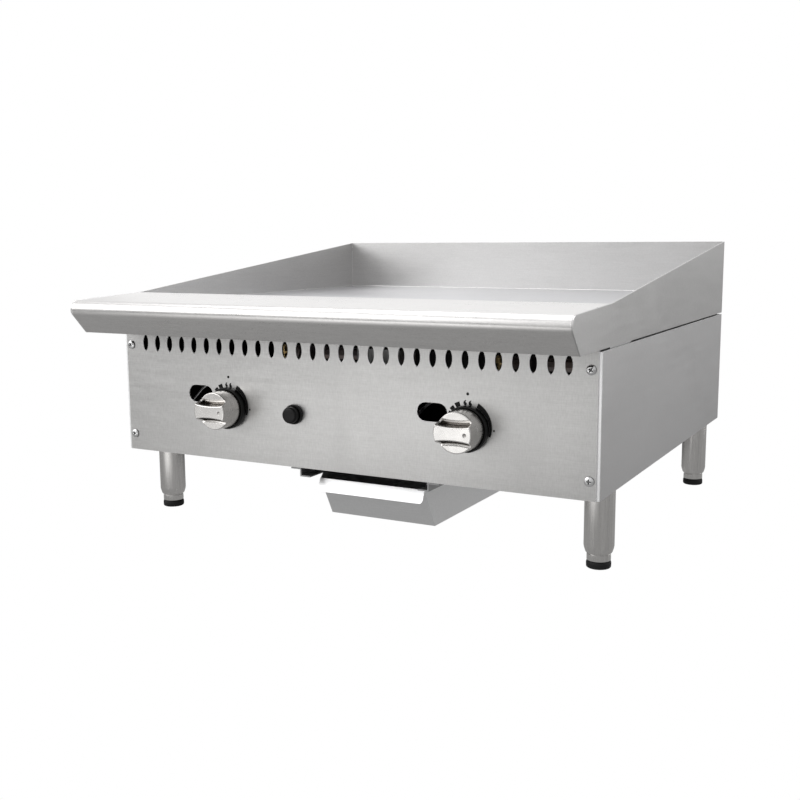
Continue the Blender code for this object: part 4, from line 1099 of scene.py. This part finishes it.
def panel_screw(side, level, turn):
    """Pan-head screw with a cross recess, its head just clear of the panel's face."""
    node = f"panel_screw_{side}_{level}"
    low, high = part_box(node)
    x, z = (low.x + high.x) / 2, (low.z + high.z) / 2
    seat = FACE - FIT
    profile = rounded([(0, seat - SCREW_RISE, 0), (SCREW_RADIUS * 0.62, seat - SCREW_RISE + 0.0001, 0.004),
                       (SCREW_RADIUS, seat - 0.0012, 0.0016), (SCREW_RADIUS, seat, 0.0003),
                       (SHANK_RADIUS, seat, 0)], 5)
    profile += [(SHANK_RADIUS, high.y - 0.0015), (SHANK_RADIUS / 2, high.y), (0, high.y)]
    head = plain_object(f"screw_{side}_{level}", turned(profile, "Y", (x, 0, z), 48))
    tools = []
    for quarter in (0, 90):
        bar = block((-RECESS_REACH, seat - 0.0040, -RECESS_HALF),
                    (RECESS_REACH, seat - RECESS_FLOOR, RECESS_HALF))
        spin = Matrix.Rotation(math.radians(turn + quarter), 4, "Y")
        bmesh.ops.transform(bar, matrix=Matrix.Translation((x, 0, z)) @ spin, verts=bar.verts)
        tools.append(plain_object("tool", bar))
    boolean(head, "DIFFERENCE", *tools)
    fit_piece(head, LOOKS["screw"], "casing", "screw_steel", node)


def panel_screws():
    turn = 20
    for side in SIDES:
        for level in ("lower", "upper"):
            panel_screw(side, level, turn)
            turn += 35


# ---------------------------------------------------------------- legs


def leg_tube(place):
    """A leg tube with its necked lower end, the pocket for the foot and the stud on top."""
    low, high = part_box(f"leg_{place}")
    x, y = (low.x + high.x) / 2, (low.y + high.y) / 2
    radius = (high.x - low.x) / 2
    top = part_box("bottom_pan")[0].z - FIT
    mouth = low.z
    pocket = mouth + LEG_POCKET
    corners = [(0, pocket, 0), (FOOT_BORE, pocket, 0), (FOOT_BORE, mouth, 0),
               (FOOT_BORE + 0.0012, mouth, 0.0005), (radius - 0.0006, mouth + 0.0055, 0.004),
               (radius, mouth + 0.0085, 0.006), (radius, top, 0.0005), (STUD_RADIUS, top, 0),
               (STUD_RADIUS, high.z, 0), (0, high.z, 0)]
    tube = plain_object(f"leg_tube_{place}", turned(rounded(corners, 6), "Z", (x, y, 0), 72))
    fit_piece(tube, LOOKS["leg"], "casing", "leg_steel", f"leg_{place}")
    return x, y, mouth


def levelling_foot(place, x, y, mouth):
    """The foot's sleeve, with a fine groove just under the tube's mouth, and its rubber pad."""
    low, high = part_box(f"levelling_foot_{place}")
    radius = (high.x - low.x) / 2
    groove = radius - GROOVE_DEPTH
    corners = [(0, low.z, 0), (FOOT_NECK, low.z, 0), (FOOT_NECK, FOOT_SEAT, 0),
               (radius, FOOT_SEAT, 0.0009), (radius, mouth - 0.0022, 0.0003),
               (groove, mouth - 0.0018, 0.0003), (groove, mouth - 0.0008, 0.0003),
               (radius, mouth - 0.0004, 0.0003), (radius, high.z, 0.0008), (0, high.z, 0)]
    foot = plain_object(f"foot_sleeve_{place}", turned(rounded(corners, 4), "Z", (x, y, 0), 64))
    fit_piece(foot, LOOKS["leg"], f"foot_{place}", "leg_steel", f"levelling_foot_{place}")
    low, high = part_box(f"foot_pad_{place}")
    radius = (high.x - low.x) / 2
    corners = [(0, low.z, 0), (radius - 0.0002, low.z, 0.0022), (radius, high.z - 0.003, 0.001),
               (radius - 0.0008, high.z, 0.0008), (PAD_BORE, high.z, 0), (PAD_BORE, PAD_FLOOR, 0),
               (0, PAD_FLOOR, 0)]
    pad = plain_object(f"rubber_pad_{place}", turned(rounded(corners, 5), "Z", (x, y, 0), 64))
    fit_piece(pad, LOOKS["rubber"], f"foot_{place}", "rubber", f"foot_pad_{place}")


def legs():
    for row in ("front", "rear"):
        for side in SIDES:
            place = f"{row}_{side}"
            levelling_foot(place, *leg_tube(place))


# ---------------------------------------------------------------- frame pieces that keep their own shape


# Each node's finish, and how far its edges are rounded
KEPT = {
    "control_panel": ("panel", 0.0006),
    "side_panel_left": ("side", 0.0006), "side_panel_right": ("side", 0.0006),
    "back_panel": ("side", 0.0004), "splash_back": ("splash", 0.0004),
    "bottom_pan": ("inner", 0), "grease_trough": ("trough", 0.0003), "griddle_plate": ("plate", 0.0012),
    "grease_drawer": ("drawer", 0.0004),
    "drawer_rail_left": ("inner", 0.0003), "drawer_rail_right": ("inner", 0.0003),
    "plate_rail_front": ("paint", 0.0005), "plate_rail_rear": ("paint", 0.0005),
    "burner_support": ("paint", 0.0003), "gas_manifold": ("paint", 0),
    "burner_left": ("fired", 0), "burner_right": ("fired", 0),
    "air_shutter_left": ("aluminium", 0), "air_shutter_right": ("aluminium", 0),
    "pilot_tube_left": ("aluminium", 0), "pilot_tube_right": ("aluminium", 0),
    "orifice_left": ("brass", 0), "orifice_right": ("brass", 0),
    "gas_valve_left": ("brass", 0), "gas_valve_right": ("brass", 0),
    "valve_stem_left": ("brass", 0), "valve_stem_right": ("brass", 0),
    "pilot_burner_left": ("brass", 0), "pilot_burner_right": ("brass", 0),
    "valve_push_pin_left": ("spring", 0), "valve_push_pin_right": ("spring", 0),
    "valve_spring_left": ("spring", 0), "valve_spring_right": ("spring", 0),
    "igniter_spring": ("spring", 0), "igniter_nut": ("plastic", 0.0004),
}


def kept_pieces():
    for name, (look, edge) in KEPT.items():
        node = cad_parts[name]
        node.data.materials.clear()
        node.data.materials.append(LOOKS[look])
        if edge:
            soften(node, edge)


aim_camera()
studio()
kept_pieces()
front_deck()
splash_guards()
plate_welds()
for side in SIDES:
    knob(side)
    bezel(side)
    dial(side)
igniter()
panel_screws()
legs()
